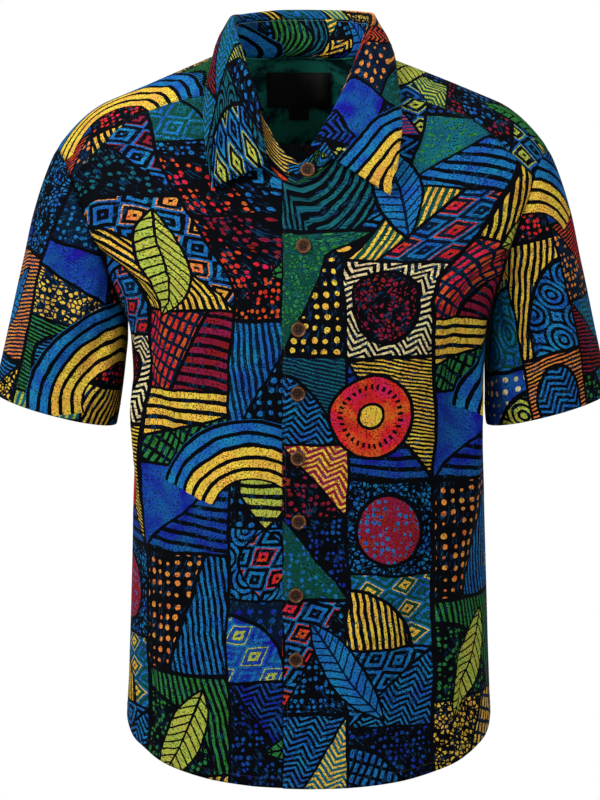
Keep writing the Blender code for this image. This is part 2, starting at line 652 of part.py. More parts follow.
def leaf_grid():
    """The leaf: it rises from the stand's top, rolls over outwards and falls to its outer edge,
    as a curve through five points on each line."""
    front = np.array(NECK_FRONT_ANGLES)
    angles = np.concatenate(
        [
            -front[LEAF_START_UNDER:],
            yoke_angles()[::-1][1:-1],
            front[LEAF_START_OVER:][::-1],
        ]
    )
    places = list(stand_angles())
    stand = stand_grid()
    first = places.index(-front[LEAF_START_UNDER])
    top = stand[-1, first : first + len(angles)]
    along = unit(np.gradient(top, axis=0))
    rise = top - stand[-2, first : first + len(angles)]
    rise = unit(rise - along * (rise * along).sum(axis=1, keepdims=True))
    turn = -angles % 360
    edge = np.stack([smooth(LEAF_EDGE, k, turn) for k in (1, 2, 3)], axis=-1)
    roll = smooth(LEAF_EDGE, 4, turn)[:, None]
    out = np.cross(rise, along)
    out = out * np.sign((out * top * (1, 1, 0)).sum(axis=1, keepdims=True))
    start = top + rise * SEAM_GAP
    low = top + rise * roll * ROLL_RISE
    crest = top + rise * roll + out * LEAF_ROLL
    turned = top + rise * roll * ROLL_TURN[0] + out * LEAF_ROLL * ROLL_TURN[1]
    across = unit(np.cross(edge - turned, np.gradient(turned, axis=0)))
    across = across * np.sign((across * out).sum(axis=1, keepdims=True))
    rows = [turned + (edge - turned) * t + across * LEAF_BELLY * bow for t, bow in LEAF_FALL]
    falling = [clear_of_body(row, LEAF_CLEAR) for row in (*rows, edge)]
    return np.stack([start, low, crest, turned, *falling])


def clear_of_body(points, gap):
    """The points, pushed away from the shoulder's core line at their place sideways until they lie
    outside the body by the gap. The body's cross-section there is half an ellipse over a wall."""
    x, y, z = points.T
    core = np.minimum(ridge(x) - SHOULDER_DROP, z)
    depth = np.where(y < 0, body_depth(x, z, -1), body_depth(x, z, 1))
    away = np.hypot(y / depth, (z - core) / SHOULDER_DROP)
    length = np.hypot(y, z - core)
    factor = np.maximum((1 + gap / length) / away, 1)
    return np.stack([x, y * factor, core + (z - core) * factor], axis=-1)


def cloth(name, grid, thickness, material, around=False):
    """A piece of cloth: the grid's surface, given its wall by Solidify."""
    rows, columns = grid.shape[:2]
    index = np.arange(rows * columns).reshape(rows, columns)
    if around:
        index = np.concatenate([index, index[:, :1]], axis=1)
    faces = np.stack([index[:-1, :-1], index[:-1, 1:], index[1:, 1:], index[1:, :-1]], axis=-1)
    mesh = bpy.data.meshes.new(name)
    mesh.from_pydata(grid.reshape(-1, 3).tolist(), [], faces.reshape(-1, 4).tolist())
    mesh.shade_smooth()
    piece = placed(name, mesh, material)
    wall = piece.modifiers.new("wall", "SOLIDIFY")
    wall.thickness = thickness
    wall.offset = 0
    return piece


def placed(name, mesh, material):
    """A new object in the shirt's collection."""
    piece = bpy.data.objects.new(name, mesh)
    mesh.materials.append(material)
    shirt.objects.link(piece)
    return piece


def finish_of(name, roughness):
    """A plain material in one of the shirt's colours."""
    material = bpy.data.materials.new(name)
    material.use_nodes = True
    shader = material.node_tree.nodes["Principled BSDF"]
    shader.inputs["Base Color"].default_value = (*COLOURS[name], 1)
    shader.inputs["Roughness"].default_value = roughness
    return material


def button(name, place, facing, material):
    """A turned button: a disc with a raised rim round a shallow dish, resting just off the cloth."""
    radius, thick = BUTTON_RADIUS, BUTTON_THICK
    profile = (
        (0.0, thick * 0.55),
        (radius * 0.62, thick * 0.55),
        (radius * 0.82, thick),
        (radius, thick * 0.55),
        (radius * 0.80, 0.0),
        (0.0, 0.0),
    )
    mesh = bpy.data.meshes.new(name)
    points = [(r, 0, z) for r, z in profile]
    mesh.from_pydata(points, [(k, k + 1) for k in range(len(points) - 1)], [])
    piece = placed(name, mesh, material)
    turned = piece.modifiers.new("turned", "SCREW")
    turned.steps = turned.render_steps = BUTTON_SIDES
    turned.use_merge_vertices = True
    turned.merge_threshold = 0.00005
    quarter = np.array(facing) / np.linalg.norm(facing)
    tilt = math.atan2(math.hypot(quarter[0], quarter[1]), quarter[2])
    piece.rotation_euler = (0, tilt, math.atan2(quarter[1], quarter[0]))
    piece.location = np.array(place) + quarter * REST_GAP
    return piece


def seat(grid, place, inward, thickness):
    """Where a button rests on a piece of cloth: the place is carried onto the cloth along a
    direction, the button faces as the cloth does round it, and it stands clear of the highest
    point under its rim. Each square of the grid counts with both of its diagonals."""
    rows, columns = grid.shape[:2]
    index = np.arange(rows * columns).reshape(rows, columns)
    faces = np.stack([index[:-1, :-1], index[:-1, 1:], index[1:, 1:], index[1:, :-1]], axis=-1)
    halves = faces.reshape(-1, 4)[:, [[0, 1, 2], [0, 2, 3], [0, 1, 3], [1, 2, 3]]].reshape(-1, 3)
    surface = BVHTree.FromPolygons(grid.reshape(-1, 3).tolist(), halves.tolist())
    across = np.cross(inward, (0, 0, 1))
    over = np.cross(across, inward)
    turns = np.radians(np.arange(0, 360, 30))
    rim = [(np.cos(t) * across + np.sin(t) * over) * BUTTON_RADIUS for t in turns]
    spots = [Vector(place + reach - 0.05 * inward) for reach in (*rim, 0 * inward)]
    hits = np.array([surface.ray_cast(spot, Vector(inward))[0] for spot in spots])
    rim, middle = hits[:-1], hits[-1]
    facing = np.cross(rim[0] - rim[6], rim[3] - rim[9])
    facing = facing / np.linalg.norm(facing)
    facing = facing * -np.sign(facing @ inward)
    proud = max(0.0, float(((rim - middle) @ facing).max()))
    return middle + facing * (proud + thickness / 2), facing


def label_grid(half, top, drop, inset):
    """A woven label on the inside of the back yoke: the yoke's own surface, moved in."""
    x = np.linspace(-half, half, 7)[None, :]
    z = top - np.linspace(0, drop, 4)[:, None]
    grid = body_point(body_angle(x + 0 * z, z + 0 * x), z + 0 * x, 1)
    across = np.gradient(grid, axis=1)
    down = np.gradient(grid, axis=0)
    inward = unit(np.cross(across, down))
    inward = inward * -np.sign(inward[..., 1:2])
    return grid + inward * inset


for item in list(bpy.data.objects):
    bpy.data.objects.remove(item)
shirt = bpy.data.collections.new("printed_shirt")
bpy.context.scene.collection.children.link(shirt)

printed = finish_of("printed_cloth", 0.75)
woven = finish_of("label", 0.6)
horn = finish_of("button", 0.35)

seams = ("right", "top")
cloth("left_front", trimmed(front_grid(1), seams + ("left",)), CLOTH, printed)
cloth("right_front", trimmed(front_grid(-1), seams + ("left",)), CLOTH, printed)
cloth("back", trimmed(back_grid(), ("left", "right", "top")), CLOTH, printed)
cloth("yoke", trimmed(yoke_grid(), ("left", "right", "bottom", "top")), CLOTH, printed)
for word, hand in (("left", 1), ("right", -1)):
    cloth(f"{word}_sleeve", sleeve_grid(hand), CLOTH, printed, around=True)
cloth("collar_stand", trimmed(stand_grid(), ("bottom",), STAND_GAP), COLLAR_CLOTH, printed)
cloth("collar_leaf", leaf_grid(), COLLAR_CLOTH, printed)
cloth("neck_label", label_grid(LABEL_HALF, LABEL_TOP, LABEL_DROP, LABEL_INSET), LABEL_CLOTH, woven)
tab_top = LABEL_TOP - LABEL_DROP - REST_GAP * 2
cloth("size_tab", label_grid(TAB_HALF, tab_top, TAB_DROP, LABEL_INSET), LABEL_CLOTH, woven)

over = front_grid(1)
for label, x, z in BUTTONS:
    spot, normal = seat(over, np.array([x, -BODY[0][2], z]), np.array([0.0, 1.0, 0.0]), CLOTH)
    button(label, spot, normal, horn)
band = stand_grid()[:, -OVERLAP_COLUMNS:]
turn = math.radians(COLLAR_BUTTON_ANGLE)
inward = np.array([-math.sin(turn), math.cos(turn), 0.0])
low, high = neck_seam(COLLAR_BUTTON_ANGLE), fold_line(COLLAR_BUTTON_ANGLE)
spot, normal = seat(band, (low + high) / 2, inward, COLLAR_CLOTH)
button("collar_button", spot, normal, horn)
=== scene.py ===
"""The looks of a short-sleeved shirt in printed cotton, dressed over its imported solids.

Metres, +Z up, +X to the wearer's left, -Y to the front. The origin is the middle of the neck
opening at the height of the high shoulder points. The file follows the shirt as it is sewn: the
worn form, the printed cloth, the two fronts, the back, the yoke, the sleeves, the collar, the
label, the sewing, the buttons, and last the studio.
"""

import math

import bmesh
import bpy
import numpy as np
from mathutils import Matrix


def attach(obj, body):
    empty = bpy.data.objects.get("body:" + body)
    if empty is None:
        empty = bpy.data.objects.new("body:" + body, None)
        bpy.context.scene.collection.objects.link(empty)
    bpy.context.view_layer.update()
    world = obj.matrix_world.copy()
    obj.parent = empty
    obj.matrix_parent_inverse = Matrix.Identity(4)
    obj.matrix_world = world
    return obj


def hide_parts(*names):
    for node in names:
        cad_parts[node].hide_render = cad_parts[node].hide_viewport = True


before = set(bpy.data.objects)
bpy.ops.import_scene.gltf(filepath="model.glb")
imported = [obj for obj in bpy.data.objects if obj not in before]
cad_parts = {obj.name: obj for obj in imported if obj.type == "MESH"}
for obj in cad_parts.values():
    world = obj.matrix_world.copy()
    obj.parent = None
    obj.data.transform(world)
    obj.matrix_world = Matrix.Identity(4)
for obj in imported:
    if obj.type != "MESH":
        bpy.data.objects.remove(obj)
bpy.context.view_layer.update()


# The worn form. The shirt is filled out as a wearer's trunk, shoulders and neck would fill it.
# Each section of the body is a rounded oblong, and the shoulders round over to a falling line.
# All panels are read off this one form, so their edges meet along the seams.

BODY = (
    # height, half width, front depth, back depth, lean, exponent (2 is an ellipse, more is squarer)
    (-0.740, 0.1812, 0.119, 0.116, 0.0098, 2.4),
    (-0.667, 0.1806, 0.119, 0.115, 0.0098, 2.4),
    (-0.570, 0.1768, 0.120, 0.112, 0.0100, 2.4),
    (-0.434, 0.1722, 0.123, 0.111, 0.0096, 2.4),
    (-0.353, 0.1706, 0.126, 0.115, 0.0090, 2.4),
    (-0.300, 0.1708, 0.127, 0.120, 0.0092, 2.5),
    (-0.262, 0.1745, 0.126, 0.123, 0.0084, 2.7),
    (-0.223, 0.1905, 0.119, 0.124, 0.0062, 2.9),
    (-0.183, 0.2090, 0.109, 0.123, 0.0048, 3.0),
    (-0.133, 0.2400, 0.094, 0.119, 0.0036, 3.0),
    (-0.090, 0.2530, 0.081, 0.114, 0.0034, 3.0),
    (-0.050, 0.2590, 0.071, 0.115, 0.0034, 3.0),
    (0.000, 0.2620, 0.067, 0.121, 0.0034, 3.0),
    (0.040, 0.2620, 0.067, 0.124, 0.0034, 3.0),
)

# The shoulder line, seen from the front
RIDGE_NECK = 0.0735  # half width of the neck at the high shoulder point
RIDGE_HEIGHT = -0.0090  # height of that point
RIDGE_SLOPE = 0.417  # fall per metre outwards
RIDGE_SOFT = 0.020  # how far the two slopes blend over the neck's middle
RIDGE_LEAN = 0.0034  # how far the line lies to the wearer's left, from the neck outwards
RIDGE_BEND = 0.186  # where the line starts to round down over the arm
RIDGE_CURL = 9.5  # how fast it rounds down
SHOULDER_DROP = 0.160  # height over which front and back round over to the shoulder line

# Soft folds of the body, by angle round it from the front towards the wearer's left
BODY_FOLDS = (
    # angle, half width in degrees, top, bottom, height of the ridge
    (63, 9, -0.250, -0.480, 0.0060),
    (46, 7, -0.300, -0.690, 0.0045),
    (-60, 9, -0.240, -0.470, 0.0060),
    (-43, 8, -0.330, -0.690, 0.0046),
    (22, 9, -0.440, -0.700, 0.0030),
    (-20, 8, -0.500, -0.700, -0.0026),
    (80, 6, -0.340, -0.660, -0.0032),
    (-82, 6, -0.360, -0.640, -0.0032),
    (108, 7, -0.280, -0.640, 0.0055),
    (-112, 8, -0.300, -0.640, 0.0052),
    (134, 8, -0.240, -0.700, 0.0070),
    (-138, 9, -0.260, -0.700, 0.0064),
    (158, 8, -0.330, -0.700, -0.0042),
    (-160, 8, -0.360, -0.700, -0.0045),
    (178, 9, -0.380, -0.700, 0.0052),
)


def smooth(table, column, at):
    """One column of a table, read at any place of its first column: cubic pieces through the rows,
    each starting and ending with the slope of the line between its neighbours."""
    rows = np.array(table, float)
    knots, values = rows[:, 0], rows[:, column]
    slopes = np.gradient(values, knots)
    at = np.clip(np.asarray(at, float), knots[0], knots[-1])
    low = np.clip(np.searchsorted(knots, at) - 1, 0, len(knots) - 2)
    step = knots[low + 1] - knots[low]
    t = (at - knots[low]) / step
    start = values[low] * (1 + 2 * t) * (1 - t) ** 2 + slopes[low] * step * t * (1 - t) ** 2
    end = values[low + 1] * t * t * (3 - 2 * t) - slopes[low + 1] * step * t * t * (1 - t)
    return start + end


def ease(t):
    """0 before 0, 1 after 1, and a soft S between."""
    t = np.clip(t, 0, 1)
    return t * t * (3 - 2 * t)


def unit(vectors):
    """The same directions, each one long."""
    return vectors / np.maximum(np.linalg.norm(vectors, axis=-1, keepdims=True), 1e-9)


def ridge(x):
    """Height of the shoulder line: two slopes that blend at the middle and round down at the
    arm."""
    x = np.asarray(x, float)
    x = np.abs(x - RIDGE_LEAN * np.clip(np.abs(x) / RIDGE_NECK - 1, 0, 1))
    out = np.sqrt(x * x + RIDGE_SOFT**2) - math.hypot(RIDGE_NECK, RIDGE_SOFT)
    return RIDGE_HEIGHT - RIDGE_SLOPE * out - RIDGE_CURL * np.maximum(x - RIDGE_BEND, 0) ** 2


def fold_height(around, height):
    """How far the body's soft folds lift the cloth, at an angle round the body in degrees: each is
    a bell across and fades at both ends."""
    lift = np.zeros(np.broadcast(around, height).shape)
    for angle, half, top, bottom, rise in BODY_FOLDS:
        across = (around - angle + 180) % 360 - 180
        along = ease((top - height) / 0.09) * ease((height - bottom) / 0.10 + 0.35)
        lift = lift + rise * np.exp(-((across / half) ** 2)) * along
    return lift


def section(height, face):
    """The body's section at a height: half width, depth on that face, lean and exponent."""
    depth = smooth(BODY, 2 if face < 0 else 3, height)
    return smooth(BODY, 1, height), depth, smooth(BODY, 4, height), smooth(BODY, 5, height)


def body_point(angle, height, face):
    """The body's cloth at an angle from the middle and a height. Each section is an oblong
    |x/a|^n + |y/b|^n = 1, and towards the shoulder line its depth shrinks as a quarter circle.
    face is -1 in front and 1 behind."""
    half, depth, lean, power = section(height, face)
    sine, cosine = np.sin(angle), np.maximum(np.cos(angle), 0)
    reach = (np.abs(sine) ** power + cosine**power) ** (-1 / power)
    x = lean + half * reach * sine
    fall = np.clip((ridge(x) - height) / SHOULDER_DROP, 0, 1)
    y = face * depth * reach * cosine * np.sqrt(1 - (1 - fall) ** 2)
    around = np.degrees(angle) if face < 0 else 180 - np.degrees(angle)
    lift = fold_height(around, height)
    out = unit(np.stack([(x - lean) / half**2, y / depth**2], axis=-1))
    return np.stack([x + out[..., 0] * lift, y + out[..., 1] * lift, height + 0 * x], axis=-1)


def body_angle(x, height):
    """The angle from the middle at which the body's section reaches x."""
    half, _, lean, power = section(height, -1)
    share = np.clip((x - lean) / half, -1, 1)
    rest = (1 - np.abs(share) ** power) ** (1 / power)
    return np.arctan2(share, rest)


def body_depth(x, height, face):
    """How far the body's section would reach at x, before the shoulder takes from it."""
    half, depth, lean, power = section(height, face)
    share = np.clip(np.abs(x - lean) / half, 0, 1)
    return depth * (1 - share**power) ** (1 / power)


def over_shoulder(x, y):
    """Height of the body's cloth over a place near the shoulder line. The depth that rounds it
    depends on the height, so the height is found by repeating."""
    height = ridge(x)
    for _ in range(40):
        front, back = body_depth(x, height, -1), body_depth(x, height, 1)
        share = np.clip(np.abs(y) / np.where(y < 0, front, back), 0, 1)
        height = 0.5 * height + 0.5 * (ridge(x) - SHOULDER_DROP * (1 - np.sqrt(1 - share**2)))
    return height


# The seams. Neck, armholes, yoke seams, side seams and the curved hem are lines on that form.
# Every line has the same points in both pieces that it joins.

SEAM_GAP = 0.0004  # between the edges of two pieces sewn together
FINE = 6  # squares of cloth here to one of the solids'

# The neck seam lies on the body. It and the collar's fold are half ellipses in plan.
NECK_SIDE = 0.0725
NECK_BACK = 0.0670
NECK_FRONT = (
    # angle round the neck in degrees from the front, height of the seam
    (0, -0.1320),
    (15, -0.1240),
    (30, -0.1010),
    (40, -0.0815),
    (52, -0.0605),
    (60, -0.0455),
    (70, -0.0275),
    (80, -0.0140),
    (90, -0.0087),
)
FOLD_SIDE = 0.0640
FOLD_FRONT = 0.0835
FOLD_BACK = 0.0715
FOLD_LEAN = 0.0060  # how far the fold lies to the wearer's left behind
FOLD = (
    # angle round the neck in degrees from the front, height of the stand's top, its lean outwards
    (0, -0.1105, -0.30),
    (15, -0.0985, -0.30),
    (30, -0.0715, -0.25),
    (40, -0.0510, -0.15),
    (50, -0.0310, -0.05),
    (60, -0.0130, 0.05),
    (72, 0.0040, 0.10),
    (90, 0.0165, 0.15),
    (120, 0.0205, 0.20),
    (150, 0.0225, 0.25),
    (180, 0.0232, 0.25),
)
NECK_PLACES = (-12.8, -8.5, 3.0, 14.7, 25.0, 34.0, 43.0, 51.5, 60.0)
NECK_FRONT_ANGLES = np.interp(np.arange(8 * FINE + 1) / FINE, np.arange(9), NECK_PLACES)
OVERLAP_END = 1 * FINE  # place in that list of the outer end of the stand
LEAF_START_OVER = 3 * FINE  # and where the leaf starts on the overlapping side
LEAF_START_UNDER = 5 * FINE  # and on the side under it

# The armhole, an upright oval seen from the side, which lies on the body
ARMHOLE_TOP = -0.1010
ARMHOLE_BOTTOM = -0.2650
ARMHOLE_FRONT = 0.0550
ARMHOLE_BACK = 0.0600
YOKE_FRONT_ANGLE = 47.0  # where the front yoke seam meets it, from its top
YOKE_BACK_ANGLE = 42.0
YOKE_FRONT = (
    # share of the way from neck to armhole, how far the seam lies below the neck's end of it
    (0.00, 0.0000),
    (0.28, 0.0065),
    (0.50, 0.0175),
    (0.72, 0.0370),
    (0.84, 0.0550),
    (1.00, 0.0815),
)
YOKE_BACK = -0.1010  # height of the back yoke seam at the middle of the back

# Hem: the tails are rounded up to the side seams
TAIL = -0.7050  # height of the front and back hem at the middle
HEM_SIDE = -0.6580  # height of the hem at the side seams
HEM = (
    # share of the way from the middle to the side seam, share of the rise
    (0.00, 0.000),
    (0.20, 0.020),
    (0.37, 0.070),
    (0.53, 0.145),
    (0.67, 0.260),
    (0.80, 0.410),
    (0.90, 0.590),
    (0.96, 0.755),
    (1.00, 1.000),
)

SIDE_ROWS = 18 * FINE
ARMHOLE_FRONT_ROWS = 11 * FINE
ARMHOLE_YOKE_ROWS = 8 * FINE
ARMHOLE_BACK_ROWS = 10 * FINE
FRONT_COLUMNS = 12 * FINE
BACK_COLUMNS = 20 * FINE
YOKE_ROWS = FRONT_COLUMNS  # the same, as the two meet along the front yoke seams
EVEN_BAND = 0.35  # share of a panel's width over which its rows become evenly spread


def neck_seam(angles):
    """Points of the neck seam, at angles in degrees from the front towards the wearer's left. In
    front its heights are given and its depths are the body's, and behind it is the reverse."""
    angles = np.asarray(angles, float)
    turn = np.radians(angles)
    x, forward = NECK_SIDE * np.sin(turn), np.cos(turn)
    z = smooth(NECK_FRONT, 1, np.abs((angles + 180) % 360 - 180))
    fall = np.clip((ridge(x) - z) / SHOULDER_DROP, 0, 1)
    front = -body_depth(x, z, -1) * np.sqrt(1 - (1 - fall) ** 2)
    y = np.where(forward > 0, front, -NECK_BACK * forward)
    return np.stack([x, y, np.where(forward > 0, z, over_shoulder(x, y))], axis=-1)


def fold_line(angles):
    """Points of the stand's top, where the leaf folds over, at the same angles."""
    angles = np.asarray(angles, float)
    turn = np.radians(angles)
    forward = np.cos(turn)
    x = FOLD_SIDE * np.sin(turn) + FOLD_LEAN * (1 - forward) / 2
    y = -np.where(forward > 0, FOLD_FRONT, FOLD_BACK) * forward
    return np.stack([x, y, smooth(FOLD, 1, np.abs((angles + 180) % 360 - 180))], axis=-1)


def armhole_ring(side, angles):
    """Points of an armhole at angles in degrees from its top over the front, on the body's cloth.
    side is 1 on the wearer's left and -1 on the right. The place outwards is found by halving."""
    turn = np.radians(np.asarray(angles, float))
    middle, half = (ARMHOLE_TOP + ARMHOLE_BOTTOM) / 2, (ARMHOLE_TOP - ARMHOLE_BOTTOM) / 2
    z = middle + half * np.cos(turn)
    depth = np.where(np.sin(turn) < 0, ARMHOLE_BACK, ARMHOLE_FRONT) * np.abs(np.sin(turn))
    near, far = 0.10 + 0 * z, 0.30 + 0 * z
    for _ in range(40):
        x = (near + far) / 2
        fall = np.clip((ridge(side * x) - z) / SHOULDER_DROP, 0, 1)
        front, back = body_depth(side * x, z, -1), body_depth(side * x, z, 1)
        here = np.where(np.sin(turn) < 0, back, front) * np.sqrt(1 - (1 - fall) ** 2)
        near, far = np.where(here > depth, x, near), np.where(here > depth, far, x)
    y = -np.sign(np.round(np.sin(turn), 9)) * depth
    return np.stack([side * x, y, z], axis=-1)


def ended(curve, start, end):
    """The curve, moved near its two ends so that it starts and ends exactly there."""
    t = np.linspace(0, 1, len(curve))[:, None]
    return curve + (start - curve[0]) * (1 - t) ** 3 + (end - curve[-1]) * t**3


def front_yoke_seam(side):
    """The front yoke seam from the neck to the armhole, on the body's cloth."""
    start = neck_seam(side * NECK_FRONT_ANGLES[-1])
    end = armhole_ring(side, YOKE_FRONT_ANGLE)
    share = np.linspace(0, 1, FRONT_COLUMNS + 1)
    x = start[0] + (end[0] - start[0]) * share
    fall = (start[2] - end[2]) / YOKE_FRONT[-1][1]
    z = start[2] - smooth(YOKE_FRONT, 1, share) * fall
    return ended(body_point(body_angle(x, z), z, -1), start, end)


def back_yoke_seam():
    """The back yoke seam from the right armhole to the left."""
    start, end = armhole_ring(-1, -YOKE_BACK_ANGLE), armhole_ring(1, -YOKE_BACK_ANGLE)
    share = np.linspace(-1, 1, BACK_COLUMNS + 1)
    x = (start[0] + end[0]) / 2 + (end[0] - start[0]) / 2 * share
    z = YOKE_BACK + (end[2] - YOKE_BACK) * share**4
    return ended(body_point(body_angle(x, z), z, 1), start, end)


def side_seam(side):
    """The side seam from the hem up to the bottom of the armhole."""
    z = np.linspace(HEM_SIDE, ARMHOLE_BOTTOM, SIDE_ROWS + 1)
    seam = body_point(np.full(len(z), side * math.pi / 2), z, -1)
    return ended(seam, seam[0], armhole_ring(side, 180.0))


def hem_height(share):
    """Height of the hem at a share of the way from the middle to a side seam."""
    return TAIL + (HEM_SIDE - TAIL) * smooth(HEM, 1, np.abs(share))


def hem_share(angle):
    """How far out the body's section reaches at an angle, as a share of its half width."""
    power = smooth(BODY, 5, TAIL)
    reach = (np.abs(np.sin(angle)) ** power + np.cos(angle) ** power) ** (-1 / power)
    return reach * np.sin(angle)


def between(left, right, bottom, top):
    """A four-sided patch over a grid of rows and columns: the straight blends of opposite edges,
    less the blend of the four corners."""
    rows, columns = len(left), len(bottom)
    v = np.linspace(0, 1, rows)[:, None, None]
    u = np.linspace(0, 1, columns)[None, :, None]
    across = (1 - u) * left[:, None] + u * right[:, None]
    along = (1 - v) * bottom[None] + v * top[None]
    corners = (1 - v) * ((1 - u) * bottom[0] + u * bottom[-1])
    corners = corners + v * ((1 - u) * top[0] + u * top[-1])
    return across + along - corners


def seated(grid, left, right, bottom, top):
    """The grid, with its four edges moved exactly onto the given curves and the move fading
    inwards."""
    rows, columns = grid.shape[:2]
    v = np.linspace(0, 1, rows)[:, None, None]
    u = np.linspace(0, 1, columns)[None, :, None]
    to_left, to_right, to_bottom, to_top = (1 - u) ** 4, u**4, (1 - v) ** 6, v**6
    grid = grid + to_left * (left - grid[:, 0])[:, None] + to_right * (right - grid[:, -1])[:, None]
    return grid + to_bottom * (bottom - grid[0])[None] + to_top * (top - grid[-1])[None]


def body_panel(left, right, bottom, top, face):
    """A body panel between four curves: the patch is made in angle and height, and each of its
    points is then read off the body's cloth. Away from its sides its rows are spread evenly, as
    they crowd under the armhole and at the neck."""
    curves = (left, right, bottom, top)
    edges = [np.stack([body_angle(c[:, 0], c[:, 2]), c[:, 2]], axis=-1) for c in curves]
    flat = between(*edges)
    v = np.linspace(0, 1, len(left))[:, None]
    u = np.linspace(0, 1, len(bottom))[None, :]
    even = edges[2][:, 1] * (1 - v) + edges[3][:, 1] * v
    inside = 1 - (1 - np.clip(np.minimum(u, 1 - u) / EVEN_BAND, 0, 1)) ** 2
    height = flat[..., 1] + (even - flat[..., 1]) * inside
    grid = body_point(flat[..., 0], height, face)
    return seated(grid, left, right, bottom, top)


def trimmed(grid, edges, gap=SEAM_GAP / 2):
    """The grid with the named edges drawn in from their seams."""
    grid = grid.copy()
    places = {"left": (slice(None), 0, 1), "right": (slice(None), -1, -2)}
    for edge in edges:
        if edge in places:
            rows, outer, inner = places[edge]
            grid[rows, outer] += unit(grid[rows, inner] - grid[rows, outer]) * gap
        else:
            outer, inner = (0, 1) if edge == "bottom" else (-1, -2)
            grid[outer] += unit(grid[inner] - grid[outer]) * gap
    return grid


# Creases and cloth. A crease is a soft trough or ridge along a line, laid in a panel's own measure,
# which fades at both ends. Near a seam the cloth dips, as the stitches draw it in.

WOBBLE = 0.0035  # how far a crease wanders from its straight line
DIP, DIP_REACH = 0.0007, 0.0035  # how deep the cloth dips at a seam, and how far out


def normals_of(grid, around=False):
    """Unit normals of a grid of points: the cross product of its two directions."""
    if around:
        wide = np.concatenate([grid[:, -2:], grid, grid[:, :2]], axis=1)
        return normals_of(wide)[:, 2:-2]
    return unit(np.cross(np.gradient(grid, axis=1), np.gradient(grid, axis=0)))


def crease_lift(across, along, table):
    """Height of the creases at places in a panel's measure: each is a bell across its line, which
    wanders a little, and fades over the first and last parts of its length."""
    lift = np.zeros(np.shape(across))
    for number, (x0, z0, x1, z1, half, rise) in enumerate(table):
        run = np.array([x1 - x0, z1 - z0])
        length = math.hypot(*run)
        t = ((across - x0) * run[0] + (along - z0) * run[1]) / length**2
        off = ((across - x0) * run[1] - (along - z0) * run[0]) / length
        off = off + WOBBLE * np.sin(5.1 * t + 1.7 * number) * length / 0.2
        width = half * (0.75 + 0.5 * np.clip(t, 0, 1))
        fade = ease(t / 0.35 + 0.15) * ease((1 - t) / 0.45 + 0.10)
        lift = lift + rise * np.exp(-((off / width) ** 2)) * fade
    return lift


def seam_dip(grid, edges):
    """How far the cloth dips beside the named edges: a half bell from each edge inwards."""
    rows, columns = grid.shape[:2]
    dip = np.zeros((rows, columns))
    along = {
        "left": (1, 1),
        "right": (1, -1),
        "bottom": (0, 1),
        "top": (0, -1),
    }
    for edge in edges:
        axis, way = along[edge]
        steps = np.linalg.norm(np.diff(grid, axis=axis), axis=-1)
        steps = np.flip(steps, axis) if way < 0 else steps
        start = np.zeros_like(np.take(steps, [0], axis))
        far = np.concatenate([start, np.cumsum(steps, axis)], axis)
        far = np.flip(far, axis) if way < 0 else far
        dip = dip - DIP * np.exp(-((far / DIP_REACH) ** 2))
    return dip


def raised(grid, lift, centre, around=False):
    """The grid moved along its normals, which are turned to point away from the centre line."""
    normal = normals_of(grid, around)
    away = grid - np.array(centre)
    sign = np.sign((normal * away).sum(axis=-1).mean())
    return grid + normal * (sign * lift)[..., None]


def shell(name, grid, measure, finishes, wall, centre, node, around=False):
    """One piece of cloth: its grid's surface, turned to face away from the centre, with its own
    measure in metres as UV map, and its wall by Solidify. The second finish is the inside's."""
    rows, columns = grid.shape[:2]
    index = np.arange(rows * columns).reshape(rows, columns)
    if around:
        index = np.concatenate([index, index[:, :1]], axis=1)
    corners = [index[:-1, :-1], index[:-1, 1:], index[1:, 1:], index[1:, :-1]]
    ends = [measure[:-1, :-1], measure[:-1, 1:], measure[1:, 1:], measure[1:, :-1]]
    normal = normals_of(grid, around)
    outwards = (normal * (grid - np.array(centre))).sum(axis=-1).mean()
    if outwards < 0:
        corners, ends = corners[::-1], ends[::-1]
    faces = np.stack(corners, axis=-1).reshape(-1, 4)
    mesh = bpy.data.meshes.new(name)
    mesh.from_pydata(grid.reshape(-1, 3), [], faces)
    cloth_map = mesh.uv_layers.new(name="cloth")
    cloth_map.data.foreach_set("uv", np.stack(ends, axis=-2).reshape(-1).astype(np.float32))
    mesh.shade_smooth()
    for finish in finishes:
        mesh.materials.append(finish)
    piece = bpy.data.objects.new(name, mesh)
    bpy.context.scene.collection.objects.link(piece)
    thick = piece.modifiers.new("wall", "SOLIDIFY")
    thick.thickness = wall
    thick.offset = 0
    thick.material_offset = len(finishes) - 1
    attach(piece, "root")
    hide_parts(node)
    return piece


def run_along(grid, axis, start):
    """Distance along a grid's lines in one direction, added up from a row or column of starts."""
    steps = np.linalg.norm(np.diff(grid, axis=axis), axis=-1)
    zero = np.zeros_like(np.take(steps, [0], axis))
    return np.expand_dims(start, axis) + np.concatenate([zero, np.cumsum(steps, axis)], axis)


# The printed cotton. A linocut-like patchwork: strips of blocks in near-black ink outlines, each
# block cut in two by a line, arc or leaf, and filled with stripes, spots, chevrons, nets or rings.
# A few large figures lie over it. The motifs and their layout are this script's own.

